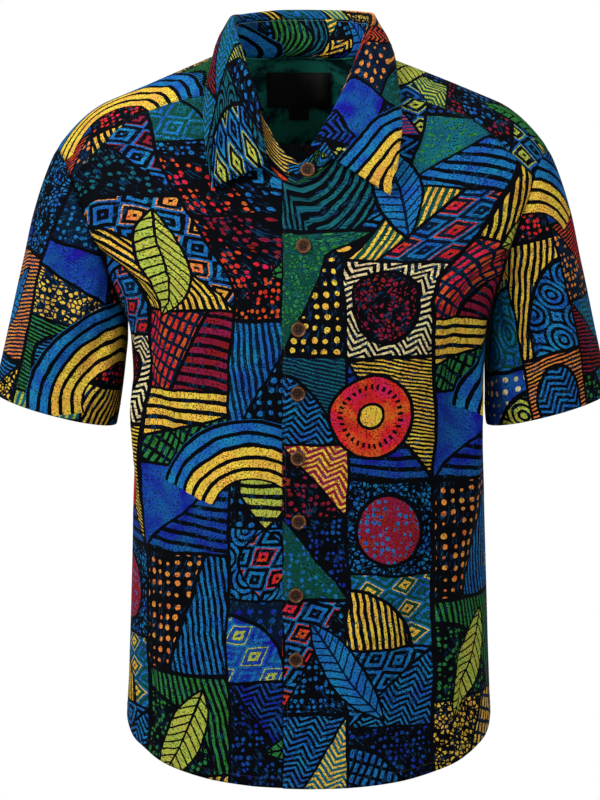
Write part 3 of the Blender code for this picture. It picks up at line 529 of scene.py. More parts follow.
INK = (0.0009, 0.0014, 0.0026, 1)
NAVY = (0.0015, 0.0068, 0.0190, 1)
COBALT = (0.0060, 0.0400, 0.2400, 1)
SKY = (0.0080, 0.1150, 0.3300, 1)
TEAL = (0.0050, 0.0850, 0.1150, 1)
DEEP_GREEN = (0.0030, 0.0480, 0.0340, 1)
LEAF_GREEN = (0.0180, 0.1500, 0.0330, 1)
LIME = (0.3300, 0.3700, 0.0500, 1)
YELLOW = (0.6200, 0.3900, 0.0450, 1)
ORANGE = (0.5800, 0.1900, 0.0350, 1)
RED = (0.5000, 0.0300, 0.0120, 1)
CRIMSON = (0.1900, 0.0080, 0.0220, 1)
CREAM = (0.6200, 0.5200, 0.2700, 1)
PURPLE = (0.0500, 0.0250, 0.1600, 1)


def calc(tree, operation, *values):
    """The result of a Math node on sockets or numbers."""
    node = tree.nodes.new("ShaderNodeMath")
    node.operation = operation
    for socket, value in zip(node.inputs, values):
        if isinstance(value, bpy.types.NodeSocket):
            tree.links.new(value, socket)
        else:
            socket.default_value = value
    return node.outputs[0]


def vector(tree, operation, *values):
    """The result of a Vector Math node on sockets or triples."""
    node = tree.nodes.new("ShaderNodeVectorMath")
    node.operation = operation
    for socket, value in zip(node.inputs, values):
        if isinstance(value, bpy.types.NodeSocket):
            tree.links.new(value, socket)
        else:
            socket.default_value = value
    return node.outputs["Vector"]


def mixed(tree, factor, first, second, kind="RGBA"):
    """A mix of two colours, or of two numbers with kind FLOAT."""
    node = tree.nodes.new("ShaderNodeMix")
    node.data_type = kind
    pair = (6, 7) if kind == "RGBA" else (2, 3)
    for place, value in zip((0, *pair), (factor, first, second)):
        if isinstance(value, bpy.types.NodeSocket):
            tree.links.new(value, node.inputs[place])
        else:
            node.inputs[place].default_value = value
    return node.outputs[2 if kind == "RGBA" else 0]


def noise(tree, place, scale, detail=2.0):
    """The Colour and Factor of a Noise texture at a place."""
    node = tree.nodes.new("ShaderNodeTexNoise")
    node.inputs["Scale"].default_value = scale
    node.inputs["Detail"].default_value = detail
    tree.links.new(place, node.inputs["Vector"])
    return node.outputs["Color"], node.outputs["Fac"]


def chance(tree, x, y, z):
    """Four even random numbers for a whole-numbered place: three in a colour, and one."""
    joined = tree.nodes.new("ShaderNodeCombineXYZ")
    for socket, value in zip(joined.inputs, (x, y, z)):
        if isinstance(value, bpy.types.NodeSocket):
            tree.links.new(value, socket)
        else:
            socket.default_value = value
    node = tree.nodes.new("ShaderNodeTexWhiteNoise")
    tree.links.new(joined.outputs[0], node.inputs["Vector"])
    parts = tree.nodes.new("ShaderNodeSeparateColor")
    tree.links.new(node.outputs["Color"], parts.inputs[0])
    return (*parts.outputs, node.outputs["Value"])


def inks(tree, factor, rows):
    """A colour picked by a number from 0 to 1: each row is where its colour starts."""
    node = tree.nodes.new("ShaderNodeValToRGB")
    ramp = node.color_ramp
    ramp.interpolation = "CONSTANT"
    while len(ramp.elements) < len(rows):
        ramp.elements.new(1.0)
    for element, (start, colour) in zip(ramp.elements, rows):
        element.position = start
        element.color = colour
    tree.links.new(factor, node.inputs[0])
    return node.outputs[0]


def cells(tree, place, scale, feature="F1", loose=1.0):
    """The distance of a Voronoi texture at a place. loose is 0 where its cells stand in rows."""
    node = tree.nodes.new("ShaderNodeTexVoronoi")
    node.inputs["Randomness"].default_value = loose
    node.feature = feature
    node.inputs["Scale"].default_value = scale
    tree.links.new(place, node.inputs["Vector"])
    return node.outputs["Distance"]


def group(name, inputs, outputs):
    """An empty node group with its sockets, its input node and its output node."""
    tree = bpy.data.node_groups.new(name, "ShaderNodeTree")
    for label, kind in inputs:
        tree.interface.new_socket(label, in_out="INPUT", socket_type=kind)
    for label, kind in outputs:
        tree.interface.new_socket(label, in_out="OUTPUT", socket_type=kind)
    return tree, tree.nodes.new("NodeGroupInput"), tree.nodes.new("NodeGroupOutput")


def chosen(tree, number, limits, masks):
    """One of several masks, picked by where a number from 0 to 1 falls between rising limits."""
    result = masks[0]
    for limit, mask in zip(limits, masks[1:]):
        result = mixed(tree, calc(tree, "GREATER_THAN", number, limit), result, mask, "FLOAT")
    return result


def stripe(tree, along, width, share):
    """1 on stripes across a direction and 0 between them."""
    return calc(tree, "LESS_THAN", calc(tree, "FRACT", calc(tree, "DIVIDE", along, width)), share)


STRIP = 0.076  # usual width of a strip of blocks
BLOCK = 0.090  # usual height of a block
OUTLINE = 0.0017  # half width of the ink line round a patch
UNEVEN = 0.20  # share of its size by which the edges of a strip or block are shifted
CUT_SIZE = 0.075  # metres of cloth to one whole step in the measure of a block's cut
NETS = (0.56, 0.69)  # a patch whose number for its motif is between these is a net of diamonds
NET_HEART = 2.3  # how far from a diamond's middle its second tint reaches


def patchwork_group():
    """The patches: Edge is 1 on ink outlines, Ground and Tint are the patch's two colours, Motif
    is 1 where its tint is printed, and Strokes is 1 on marks of the cutting knife."""
    tree, given, made = group(
        "patchwork",
        [("Place", "NodeSocketVector")],
        [
            ("Edge", "NodeSocketFloat"),
            ("Ground", "NodeSocketColor"),
            ("Tint", "NodeSocketColor"),
            ("Motif", "NodeSocketFloat"),
            ("Strokes", "NodeSocketFloat"),
        ],
    )
    place = given.outputs[0]
    apart = tree.nodes.new("ShaderNodeSeparateXYZ")
    tree.links.new(place, apart.inputs[0])
    u, v = apart.outputs[0], apart.outputs[1]

    def op(operation, *values):
        return calc(tree, operation, *values)

    # strips of uneven width, and blocks of uneven height in each
    bent = op("MULTIPLY", op("SINE", op("MULTIPLY", u, 19.5)), UNEVEN)
    strips = op("ADD", op("DIVIDE", u, STRIP), bent)
    strip, fx = op("FLOOR", strips), op("FRACT", strips)
    shift = op("MULTIPLY", strip, 0.37)
    bent = op("SINE", op("ADD", op("MULTIPLY", v, 15.0), op("MULTIPLY", strip, 2.1)))
    blocks = op("ADD", op("ADD", op("DIVIDE", v, BLOCK), shift), op("MULTIPLY", bent, UNEVEN))
    block, fy = op("FLOOR", blocks), op("FRACT", blocks)
    cut = chance(tree, strip, block, 0.0)[0]

    # each block is cut in two
    middle_x, middle_y = op("SUBTRACT", fx, 0.5), op("SUBTRACT", fy, 0.5)
    radius = op("SQRT", op("ADD", op("POWER", fx, 2.0), op("POWER", fy, 2.0)))
    centred = op(
        "SQRT", op("ADD", op("MULTIPLY", middle_x, middle_x), op("MULTIPLY", middle_y, middle_y))
    )
    leaf = op("MULTIPLY", op("SINE", op("MULTIPLY", fy, math.pi)), 0.38)
    cuts = [
        op("SUBTRACT", fx, fy),
        op("SUBTRACT", op("ADD", fx, fy), 1.0),
        op("SUBTRACT", radius, 0.80),
        op("SUBTRACT", leaf, op("ABSOLUTE", middle_x)),
        op("SUBTRACT", 0.37, centred),
        op("SUBTRACT", fy, op("ADD", 0.35, op("MULTIPLY", fx, 0.35))),
        op("SUBTRACT", op("ADD", 0.30, op("MULTIPLY", fy, 0.40)), fx),
        op("ADD", fx, 1.0),
    ]
    side = chosen(tree, cut, (0.17, 0.34, 0.46, 0.60, 0.70, 0.82, 0.94), cuts)
    half = op("GREATER_THAN", side, 0.0)
    near_x = op("MULTIPLY", op("MINIMUM", fx, op("SUBTRACT", 1.0, fx)), STRIP)
    near_y = op("MULTIPLY", op("MINIMUM", fy, op("SUBTRACT", 1.0, fy)), BLOCK)
    near_cut = op("MULTIPLY", op("ABSOLUTE", side), CUT_SIZE)
    near = op("MINIMUM", op("MINIMUM", near_x, near_y), near_cut)
    edge = op("LESS_THAN", near, OUTLINE)

    # the patch's own numbers: its turn, tint, ground and motif
    turn, tint_pick, ground_pick, motif_pick = chance(
        tree, strip, block, op("ADD", op("MULTIPLY", half, 3.0), 5.0)
    )
    angle = op("MULTIPLY", turn, math.pi)
    cosine, sine = op("COSINE", angle), op("SINE", angle)
    a = op("ADD", op("MULTIPLY", u, cosine), op("MULTIPLY", v, sine))
    b = op("SUBTRACT", op("MULTIPLY", v, cosine), op("MULTIPLY", u, sine))
    zigzag = op("ABSOLUTE", op("SUBTRACT", op("FRACT", op("DIVIDE", b, 0.024)), 0.5))
    slant = op("ADD", a, op("MULTIPLY", zigzag, 0.020))
    away_a = op("ABSOLUTE", op("SUBTRACT", op("FRACT", op("DIVIDE", a, 0.026)), 0.5))
    away_b = op("ABSOLUTE", op("SUBTRACT", op("FRACT", op("DIVIDE", b, 0.038)), 0.5))
    nested = op("ADD", op("MULTIPLY", op("ADD", away_a, away_b), 3.4), 0.30)
    diamond = op("FRACT", nested)
    ring = op("SQRT", op("ADD", op("POWER", away_a, 2.0), op("POWER", away_b, 2.0)))
    rings = op("FRACT", op("MULTIPLY", ring, 5.2))
    dashes = op("MULTIPLY", stripe(tree, a, 0.0072, 0.52), stripe(tree, b, 0.0125, 0.72))
    motifs = [
        stripe(tree, a, 0.0062, 0.45),
        op("LESS_THAN", cells(tree, place, 165.0, loose=0.5), 0.34),
        stripe(tree, slant, 0.0064, 0.43),
        stripe(tree, a, 0.0036, 0.40),
        op("LESS_THAN", diamond, 0.46),
        op("GREATER_THAN", cells(tree, place, 215.0, "DISTANCE_TO_EDGE", 0.8), 0.17),
        op("LESS_THAN", rings, 0.50),
        dashes,
        op("LESS_THAN", cells(tree, place, 95.0, loose=0.25), 0.27),
        stripe(tree, b, 0.0100, 0.58),
    ]
    limits = (0.13, 0.33, 0.41, *NETS, 0.78, 0.85, 0.90, 0.955)
    motif = chosen(tree, motif_pick, limits, motifs)

    # short strokes of the cutting knife, which run one way in each patch
    joined = tree.nodes.new("ShaderNodeCombineXYZ")
    tree.links.new(op("MULTIPLY", a, 560.0), joined.inputs[0])
    tree.links.new(op("MULTIPLY", b, 105.0), joined.inputs[1])
    strokes = op("GREATER_THAN", noise(tree, joined.outputs[0], 1.0, 1.0)[1], 0.585)
    tint = inks(
        tree,
        tint_pick,
        (
            (0.00, SKY),
            (0.24, COBALT),
            (0.36, TEAL),
            (0.44, YELLOW),
            (0.52, LIME),
            (0.67, RED),
            (0.82, ORANGE),
            (0.845, LEAF_GREEN),
            (0.93, CRIMSON),
            (0.97, CREAM),
        ),
    )
    above, below = op("GREATER_THAN", motif_pick, NETS[0]), op("LESS_THAN", motif_pick, NETS[1])
    heart = op("MULTIPLY", op("MULTIPLY", above, below), op("LESS_THAN", nested, NET_HEART))
    tint = mixed(tree, heart, tint, SKY)
    ground = inks(
        tree,
        ground_pick,
        (
            (0.00, INK),
            (0.64, NAVY),
            (0.79, DEEP_GREEN),
            (0.88, COBALT),
            (0.93, TEAL),
            (0.96, CRIMSON),
            (0.985, PURPLE),
        ),
    )
    for label, value in (
        ("Edge", edge),
        ("Ground", ground),
        ("Tint", tint),
        ("Motif", motif),
        ("Strokes", strokes),
    ):
        tree.links.new(value, made.inputs[label])
    return tree


def figures_group():
    """The large figures, laid in a repeat of cloth: Shown is 1 on a figure and its ink
    outline, and Colour is the figure's."""
    tree, given, made = group(
        "large_figures",
        [("Place", "NodeSocketVector")],
        [("Shown", "NodeSocketFloat"), ("Colour", "NodeSocketColor")],
    )
    apart = tree.nodes.new("ShaderNodeSeparateXYZ")
    tree.links.new(given.outputs[0], apart.inputs[0])

    def op(operation, *values):
        return calc(tree, operation, *values)

    repeat_u, repeat_v, drop = 0.37, 0.46, 0.19  # the repeat, and each column's step down
    u = op("MULTIPLY", op("FRACT", op("DIVIDE", apart.outputs[0], repeat_u)), repeat_u)
    column = op("FLOOR", op("DIVIDE", apart.outputs[0], repeat_u))
    dropped = op("ADD", apart.outputs[1], op("MULTIPLY", column, drop))
    v = op("MULTIPLY", op("FRACT", op("DIVIDE", dropped, repeat_v)), repeat_v)
    shown, colour = None, None

    def lay(inside, paint):
        nonlocal shown, colour
        shown = inside if shown is None else op("MAXIMUM", shown, inside)
        colour = paint if colour is None else mixed(tree, inside, colour, paint)

    def polar(x, y):
        du, dv = op("SUBTRACT", u, x), op("SUBTRACT", v, y)
        far = op("SQRT", op("ADD", op("MULTIPLY", du, du), op("MULTIPLY", dv, dv)))
        return du, dv, far, op("DIVIDE", op("ARCTAN2", dv, du), 2 * math.pi)

    # a sun: a disc with a toothed ring
    _, _, far, turn = polar(0.085, 0.115)
    teeth = op("LESS_THAN", op("FRACT", op("MULTIPLY", turn, 30.0)), 0.45)
    band = op("MULTIPLY", op("GREATER_THAN", far, 0.0255), op("LESS_THAN", far, 0.0305))
    paint = mixed(tree, op("MULTIPLY", teeth, band), RED, INK)
    paint = mixed(tree, op("LESS_THAN", far, 0.0130), paint, INK)
    paint = mixed(tree, op("LESS_THAN", far, 0.0100), paint, YELLOW)
    paint = mixed(tree, op("GREATER_THAN", far, 0.0380), paint, INK)
    lay(op("LESS_THAN", far, 0.0415), paint)

    # arcs of bands, like a bent ladder
    du, dv, far, turn = polar(0.265, 0.085)
    bands = stripe(tree, op("SUBTRACT", far, 0.042), 0.0112, 0.66)
    outer = op("GREATER_THAN", far, 0.0750)
    paint = mixed(tree, bands, INK, mixed(tree, outer, YELLOW, SKY))
    inside = op("MULTIPLY", op("GREATER_THAN", far, 0.0400), op("LESS_THAN", far, 0.0985))
    inside = op("MULTIPLY", inside, op("GREATER_THAN", op("ADD", dv, op("MULTIPLY", du, 0.4)), 0))
    lay(inside, paint)

    # three leaves with ribs
    for x, y, lean, half_long, half_wide, fill, rib in (
        (0.195, 0.330, 1.15, 0.058, 0.0210, LIME, INK),
        (0.060, 0.330, -0.95, 0.062, 0.0190, SKY, NAVY),
        (0.320, 0.330, 0.25, 0.046, 0.0165, LEAF_GREEN, INK),
    ):
        du, dv, _, _ = polar(x, y)
        a = op("ADD", op("MULTIPLY", du, math.cos(lean)), op("MULTIPLY", dv, math.sin(lean)))
        b = op("SUBTRACT", op("MULTIPLY", dv, math.cos(lean)), op("MULTIPLY", du, math.sin(lean)))
        wide = op("ABSOLUTE", b)
        bow = op("SUBTRACT", 1.0, op("POWER", op("DIVIDE", a, half_long), 2.0))
        limit = op("MULTIPLY", op("MAXIMUM", bow, 0.0), half_wide)
        ribs = stripe(tree, op("ADD", a, op("MULTIPLY", wide, 0.8)), 0.0092, 0.24)
        ribs = op("MAXIMUM", ribs, op("LESS_THAN", wide, 0.0011))
        paint = mixed(tree, ribs, fill, rib)
        paint = mixed(tree, op("GREATER_THAN", wide, op("SUBTRACT", limit, 0.0026)), paint, INK)
        lay(op("MULTIPLY", op("LESS_THAN", wide, limit), op("GREATER_THAN", limit, 0.0005)), paint)

    tree.links.new(shown, made.inputs["Shown"])
    tree.links.new(colour, made.inputs["Colour"])
    return tree


def weave_group():
    """A plain weave and the cloth's small unevenness: Height is for a bump."""
    tree, given, made = group(
        "plain_weave",
        [("Place", "NodeSocketVector"), ("Threads", "NodeSocketFloat")],
        [("Height", "NodeSocketFloat")],
    )
    apart = tree.nodes.new("ShaderNodeSeparateXYZ")
    tree.links.new(given.outputs["Place"], apart.inputs[0])
    waves = [
        calc(tree, "SINE", calc(tree, "MULTIPLY", apart.outputs[k], given.outputs["Threads"]))
        for k in (0, 1)
    ]
    height = calc(tree, "MULTIPLY", calc(tree, "MULTIPLY", *waves), 0.10)
    rumple = calc(tree, "MULTIPLY", noise(tree, given.outputs["Place"], 34.0, 3.0)[1], 2.2)
    grain = calc(tree, "MULTIPLY", noise(tree, given.outputs["Place"], 420.0, 2.0)[1], 0.25)
    total = calc(tree, "ADD", calc(tree, "ADD", height, rumple), grain)
    tree.links.new(total, made.inputs["Height"])
    return tree


HAND_WOBBLES = ((13.0, 0.014), (110.0, 0.0022))  # scale of each wobble, and its reach in metres


def print_group():
    """The whole print's Colour. Wobbles move every line as a hand-cut block's would be, specks of
    ink show in the tints, and the dye drifts a little in hue and depth."""
    tree, given, made = group(
        "hand_cut_print", [("Place", "NodeSocketVector")], [("Colour", "NodeSocketColor")]
    )
    place = given.outputs["Place"]
    for scale, reach in HAND_WOBBLES:
        colour, _ = noise(tree, given.outputs["Place"], scale)
        moved = vector(tree, "SUBTRACT", colour, (0.5, 0.5, 0.5))
        moved = vector(tree, "MULTIPLY", moved, (reach, reach, 0))
        place = vector(tree, "ADD", place, moved)
    patch = tree.nodes.new("ShaderNodeGroup")
    patch.node_tree = patchwork_group()
    tree.links.new(place, patch.inputs[0])
    large = tree.nodes.new("ShaderNodeGroup")
    large.node_tree = figures_group()
    tree.links.new(place, large.inputs[0])
    _, cloud = noise(tree, given.outputs["Place"], 60.0, 2.0)
    strokes = patch.outputs["Strokes"]
    faint = calc(tree, "MULTIPLY", strokes, calc(tree, "GREATER_THAN", cloud, 0.50))
    ground = mixed(tree, calc(tree, "MULTIPLY", faint, 0.22), patch.outputs["Ground"], SKY)
    tint = mixed(tree, calc(tree, "MULTIPLY", strokes, 0.50), patch.outputs["Tint"], INK)
    colour = mixed(tree, patch.outputs["Motif"], ground, tint)
    colour = mixed(tree, patch.outputs["Edge"], colour, INK)
    figure = mixed(tree, calc(tree, "MULTIPLY", strokes, 0.30), large.outputs["Colour"], INK)
    colour = mixed(tree, large.outputs["Shown"], colour, figure)
    _, speck = noise(tree, given.outputs["Place"], 620.0, 1.0)
    rubbed = calc(tree, "ADD", speck, calc(tree, "MULTIPLY", cloud, 0.35))
    worn = calc(tree, "GREATER_THAN", rubbed, 0.76)
    colour = mixed(tree, calc(tree, "MULTIPLY", worn, 0.80), colour, INK)
    tone = tree.nodes.new("ShaderNodeHueSaturation")
    _, drift = noise(tree, given.outputs["Place"], 48.0, 3.0)
    for label, mask, reach, least in (("Hue", drift, 0.14, 0.43), ("Value", cloud, 0.9, 0.55)):
        shift = calc(tree, "ADD", calc(tree, "MULTIPLY", mask, reach), least)
        tree.links.new(shift, tone.inputs[label])
    tree.links.new(colour, tone.inputs["Color"])
    tree.links.new(tone.outputs[0], made.inputs["Colour"])
    return tree


print_tree, weave_tree = print_group(), weave_group()
WEAVE_STEP = 0.00075  # from one thread of the cloth to the next
FADED_DYE = (0.045, 0.060, 0.075, 1)  # what the print fades towards on the reverse


def begun(name, specular):
    """A new material with a Principled shader: the material, its node tree and the shader."""
    finish = bpy.data.materials.new(name)
    finish.use_nodes = True
    shader = finish.node_tree.nodes["Principled BSDF"]
    shader.inputs["Specular IOR Level"].default_value = specular
    return finish, finish.node_tree, shader


def measured(tree):
    """A piece's own measure, its UV map in metres of cloth."""
    measure = tree.nodes.new("ShaderNodeUVMap")
    measure.uv_map = "cloth"
    return measure.outputs["UV"]


def embossed(tree, shader, height, distance, strength=1.0):
    """Small relief on a shader: distance is how far a height of 1 stands out, in metres."""
    bump = tree.nodes.new("ShaderNodeBump")
    bump.inputs["Strength"].default_value = strength
    bump.inputs["Distance"].default_value = distance
    tree.links.new(height, bump.inputs["Height"])
    tree.links.new(bump.outputs["Normal"], shader.inputs["Normal"])


def cloth_finish(name, faded=0.0, plain=None):
    """Printed cotton, or its reverse with the print faded, or a plain mottled cloth."""
    finish, tree, shader = begun(name, 0.03)
    place = measured(tree)
    if plain:
        # brushed patches: stretched clouds with a sharp side, roughened by fine noise
        brushed = vector(tree, "MULTIPLY", place, (0.8, 2.0, 1.0))
        cloud = calc(tree, "MULTIPLY", noise(tree, brushed, 26.0, 3.0)[1], 6.0)
        fine = calc(tree, "MULTIPLY", noise(tree, place, 190.0, 2.0)[1], 2.0)
        mottle = calc(tree, "SUBTRACT", calc(tree, "ADD", cloud, fine), 3.4)
        colour = mixed(tree, mottle, *plain)
    else:
        design = tree.nodes.new("ShaderNodeGroup")
        design.node_tree = print_tree
        tree.links.new(place, design.inputs["Place"])
        colour = design.outputs["Colour"]
    if faded:
        colour = mixed(tree, faded, colour, FADED_DYE)
    tree.links.new(colour, shader.inputs["Base Color"])
    rough = calc(tree, "ADD", calc(tree, "MULTIPLY", noise(tree, place, 220.0)[1], 0.16), 0.68)
    tree.links.new(rough, shader.inputs["Roughness"])
    weave = tree.nodes.new("ShaderNodeGroup")
    weave.node_tree = weave_tree
    tree.links.new(place, weave.inputs["Place"])
    weave.inputs["Threads"].default_value = 2 * math.pi / WEAVE_STEP
    embossed(tree, shader, weave.outputs["Height"], 0.0010, 0.55)
    return finish


printed = cloth_finish("printed_cotton")
reverse = cloth_finish("printed_cotton_reverse", faded=0.55)
yoke_inside = cloth_finish(
    "yoke_inside", plain=((0.0020, 0.0200, 0.0210, 1), (0.0120, 0.1500, 0.1100, 1))
)


# The fronts. Each is cut in one with its front edge and curved into the tail, and the wearer's left
# front laps over the right one. Soft creases run down from the armholes and beside the buttons.

CLOTH = 0.0012  # wall of a body, yoke or sleeve panel
BODY_MIDDLE = (0.0, 0.0, -0.4)  # the outside of a body panel faces away from this place
LAP_STEP = 0.0019  # from the overlapping layer's middle to the layer under it
FRONT_EDGE = 0.0157  # from the middle to each front edge, which overlap by twice this
LAP_BLEND = (0.022, 0.046)  # how far out the layer under the lap sinks, from and to
FRONT_PRINT = {1: (0.0165, 0.0), -1: (0.31, 0.07)}  # where each is cut from the printed cloth
FRONT_CREASES = {
    1: (
        # from sideways and height, to sideways and height, half width, height of the crease
        (0.176, -0.170, 0.150, -0.330, 0.0100, -0.0076),
        (0.160, -0.150, 0.140, -0.260, 0.0090, 0.0057),
        (0.182, -0.265, 0.120, -0.450, 0.0130, -0.0085),
        (0.192, -0.290, 0.160, -0.520, 0.0110, 0.0068),
        (0.130, -0.420, 0.100, -0.640, 0.0150, -0.0061),
        (0.070, -0.200, 0.088, -0.400, 0.0170, -0.0049),
        (0.060, -0.500, 0.052, -0.700, 0.0140, 0.0053),
        (0.165, -0.560, 0.172, -0.680, 0.0100, -0.0057),
        (0.010, -0.225, 0.060, -0.215, 0.0060, -0.0018),
        (0.012, -0.352, 0.070, -0.362, 0.0065, -0.0019),
        (0.012, -0.480, 0.060, -0.470, 0.0060, -0.0018),
    ),
    -1: (
        (-0.172, -0.160, -0.146, -0.310, 0.0100, -0.0080),
        (-0.150, -0.135, -0.138, -0.240, 0.0090, 0.0061),
        (-0.176, -0.255, -0.112, -0.430, 0.0140, -0.0085),
        (-0.186, -0.300, -0.150, -0.500, 0.0110, 0.0072),
        (-0.120, -0.400, -0.098, -0.600, 0.0150, -0.0057),
        (-0.075, -0.230, -0.082, -0.430, 0.0160, -0.0053),
        (-0.055, -0.520, -0.060, -0.700, 0.0150, 0.0049),
        (-0.160, -0.580, -0.158, -0.690, 0.0100, -0.0053),
    ),
}


def sunk(grid, side):
    """A front panel whose middle strip lies under the other front: it sinks inwards by the lap."""
    near, far = LAP_BLEND
    under = 1 - ease((side * grid[..., 0] - near) / (far - near))
    grid = grid.copy()
    grid[..., 1] += LAP_STEP * under
    return grid


def front_grid(side):
    """A front, from its front edge out to the side seam and armhole. The wearer's left front
    (side 1) lies over the right one."""
    armhole = armhole_ring(side, np.linspace(180, YOKE_FRONT_ANGLE, ARMHOLE_FRONT_ROWS + 1))
    outer = np.concatenate([side_seam(side), armhole[1:]])
    neck = neck_seam(side * np.array(NECK_FRONT_ANGLES))
    rows = len(outer) - len(neck) + 1
    edge_x = -side * FRONT_EDGE
    z = np.linspace(TAIL, neck[0, 2], rows)
    edge = body_point(body_angle(np.full(rows, edge_x), z), z, -1)
    inner = np.concatenate([ended(edge, edge[0], neck[0]), neck[1:]])
    angle = np.linspace(body_angle(edge_x, TAIL), side * math.pi / 2, FRONT_COLUMNS + 1)
    z = hem_height(hem_share(angle))
    hem = body_point(angle, z, -1)
    inner[0] = hem[0]
    hem = ended(hem, inner[0], outer[0])
    grid = body_panel(inner, outer, hem, front_yoke_seam(side), -1)
    return sunk(grid, side) if side < 0 else grid


def panel_measure(grid, middle):
    """A body panel's measure in metres of cloth: sideways, the distance along each row from its
    start, and upwards, the distance along each column from the hem."""
    flat = grid * (1, 1, 0)
    across = run_along(flat, 1, np.full(len(grid), middle))
    along = run_along(grid * (0, 1, 1), 0, grid[0, :, 2])
    return np.stack([across, along], axis=-1)


front_surfaces = {}
for side, word in ((1, "left"), (-1, "right")):
    surface = trimmed(front_grid(side), ("right", "top", "left"))
    measure = panel_measure(surface, -FRONT_EDGE)
    lift = crease_lift(side * measure[..., 0], measure[..., 1], FRONT_CREASES[side])
    lift = lift + seam_dip(surface, ("right", "top", "left"))
    surface = raised(surface, lift, BODY_MIDDLE)
    piece = shell(
        f"{word}_front_cloth",
        surface,
        measure * (side, 1) + FRONT_PRINT[side],
        (printed, reverse),
        CLOTH,
        BODY_MIDDLE,
        f"{word}_front",
    )
    front_surfaces[side] = surface

# The back. One piece from side seam to side seam, sewn into the yoke, with a curved tail. Long
# creases fall from the shoulder blades and gather in the small of the back.

BACK_PRINT = (0.19, 0.11)  # where it is cut from the printed cloth
BACK_CREASES = (
    # columns as in the fronts' creases
    (-0.150, -0.180, -0.120, -0.420, 0.0130, -0.0085),
    (-0.110, -0.150, -0.090, -0.350, 0.0150, 0.0061),
    (-0.180, -0.290, -0.130, -0.560, 0.0120, 0.0080),
    (-0.070, -0.300, -0.090, -0.620, 0.0170, -0.0080),
    (-0.020, -0.220, -0.030, -0.520, 0.0150, 0.0057),
    (0.030, -0.260, 0.022, -0.600, 0.0160, -0.0068),
    (0.085, -0.170, 0.070, -0.430, 0.0150, 0.0065),
    (0.140, -0.180, 0.115, -0.400, 0.0130, -0.0087),
    (0.180, -0.300, 0.140, -0.560, 0.0120, 0.0076),
    (0.100, -0.440, 0.110, -0.680, 0.0150, -0.0072),
)


def back_grid():
    """The back, from the right side seam to the left, and from the hem up to the yoke."""
    angles = np.linspace(-180, -YOKE_BACK_ANGLE, ARMHOLE_BACK_ROWS + 1)
    right, left = (
        np.concatenate([side_seam(side), armhole_ring(side, angles)[1:]]) for side in (-1, 1)
    )
    angle = np.linspace(-math.pi / 2, math.pi / 2, BACK_COLUMNS + 1)
    hem = body_point(angle, hem_height(hem_share(angle)), 1)
    return body_panel(right, left, ended(hem, right[0], left[0]), back_yoke_seam(), 1)


surface = trimmed(back_grid(), ("left", "right", "top"))
measure = panel_measure(surface, 0.0)
measure[..., 0] -= measure[:, BACK_COLUMNS // 2, 0][:, None]
lift = crease_lift(measure[..., 0], measure[..., 1], BACK_CREASES)
lift = lift + seam_dip(surface, ("left", "right", "top"))
back_surface = raised(surface, lift, BODY_MIDDLE)
back_piece = shell(
    "back_cloth",
    back_surface,
    measure + BACK_PRINT,
    (printed, reverse),
    CLOTH,
    BODY_MIDDLE,
    "back",
)

# The yoke. One horseshoe over both shoulders, cut across the cloth, with a plain lining side that
# shows in the neck. It carries the shirt on the wearer's shoulders.

YOKE_MIDDLE = (0.0, 0.0, -0.3)  # the yoke's outside faces away from this place
YOKE_ROUND = 0.125  # metres of cloth to a radian over the shoulder
YOKE_PRINT = (0.83, 0.44)  # where it is cut from the printed cloth
YOKE_CREASES = (
    # columns as in the fronts' creases
    (0.120, -0.030, 0.190, -0.055, 0.0100, -0.0024),
    (-0.115, -0.028, -0.185, -0.050, 0.0100, -0.0024),
    (0.100, 0.060, 0.190, 0.075, 0.0120, -0.0030),
    (-0.105, 0.055, -0.190, 0.080, 0.0120, -0.0030),
)


def yoke_angles():
    """The angles round the neck at which the yoke's lines start, from the right front over the
    back to the left front."""
    edge = NECK_FRONT_ANGLES[-1]
    return np.linspace(edge, 360 - edge, 2 * ARMHOLE_YOKE_ROWS + BACK_COLUMNS + 1) - 360


def yoke_point(x, over):
    """The cloth over the shoulder: over is the angle of the quarter circles by which front and
    back round to the shoulder line, from -90 degrees in front to 90 behind."""
    z = ridge(x) - SHOULDER_DROP * (1 - np.cos(over))
    angle = body_angle(x, z)
    front, back = body_point(angle, z, -1), body_point(angle, z, 1)
    return np.where((over > 0)[..., None], back, front)


def yoke_place(points):
    """Where points lie on the cloth over the shoulder, as sideways place and angle over it."""
    x, y, z = points.T
    front, back = body_depth(x, z, -1), body_depth(x, z, 1)
    share = np.clip(y / np.where(y < 0, front, back), -1, 1)
    return np.stack([x, np.arcsin(share)], axis=-1)


def yoke_grid():
    """The yoke, a horseshoe round the neck: its lines run from the neck seam out to the armholes
    and the back yoke seam, and its two ends are the front yoke seams."""
    inner = neck_seam(yoke_angles()[::-1])
    over = np.linspace(YOKE_FRONT_ANGLE, -YOKE_BACK_ANGLE, ARMHOLE_YOKE_ROWS + 1)
    right, left = armhole_ring(-1, over), armhole_ring(1, over)[::-1]
    outer = np.concatenate([right, back_yoke_seam()[1:-1], left])
    ends = [front_yoke_seam(side) for side in (-1, 1)]
    places = [yoke_place(curve) for curve in (inner, outer, *ends)]
    u = np.linspace(0, 1, YOKE_ROWS + 1)[None, :, None]
    flat = seated(places[0][:, None] * (1 - u) + places[1][:, None] * u, *places)
    grid = yoke_point(flat[..., 0], flat[..., 1])
    return seated(grid, inner, outer, ends[0], ends[1])


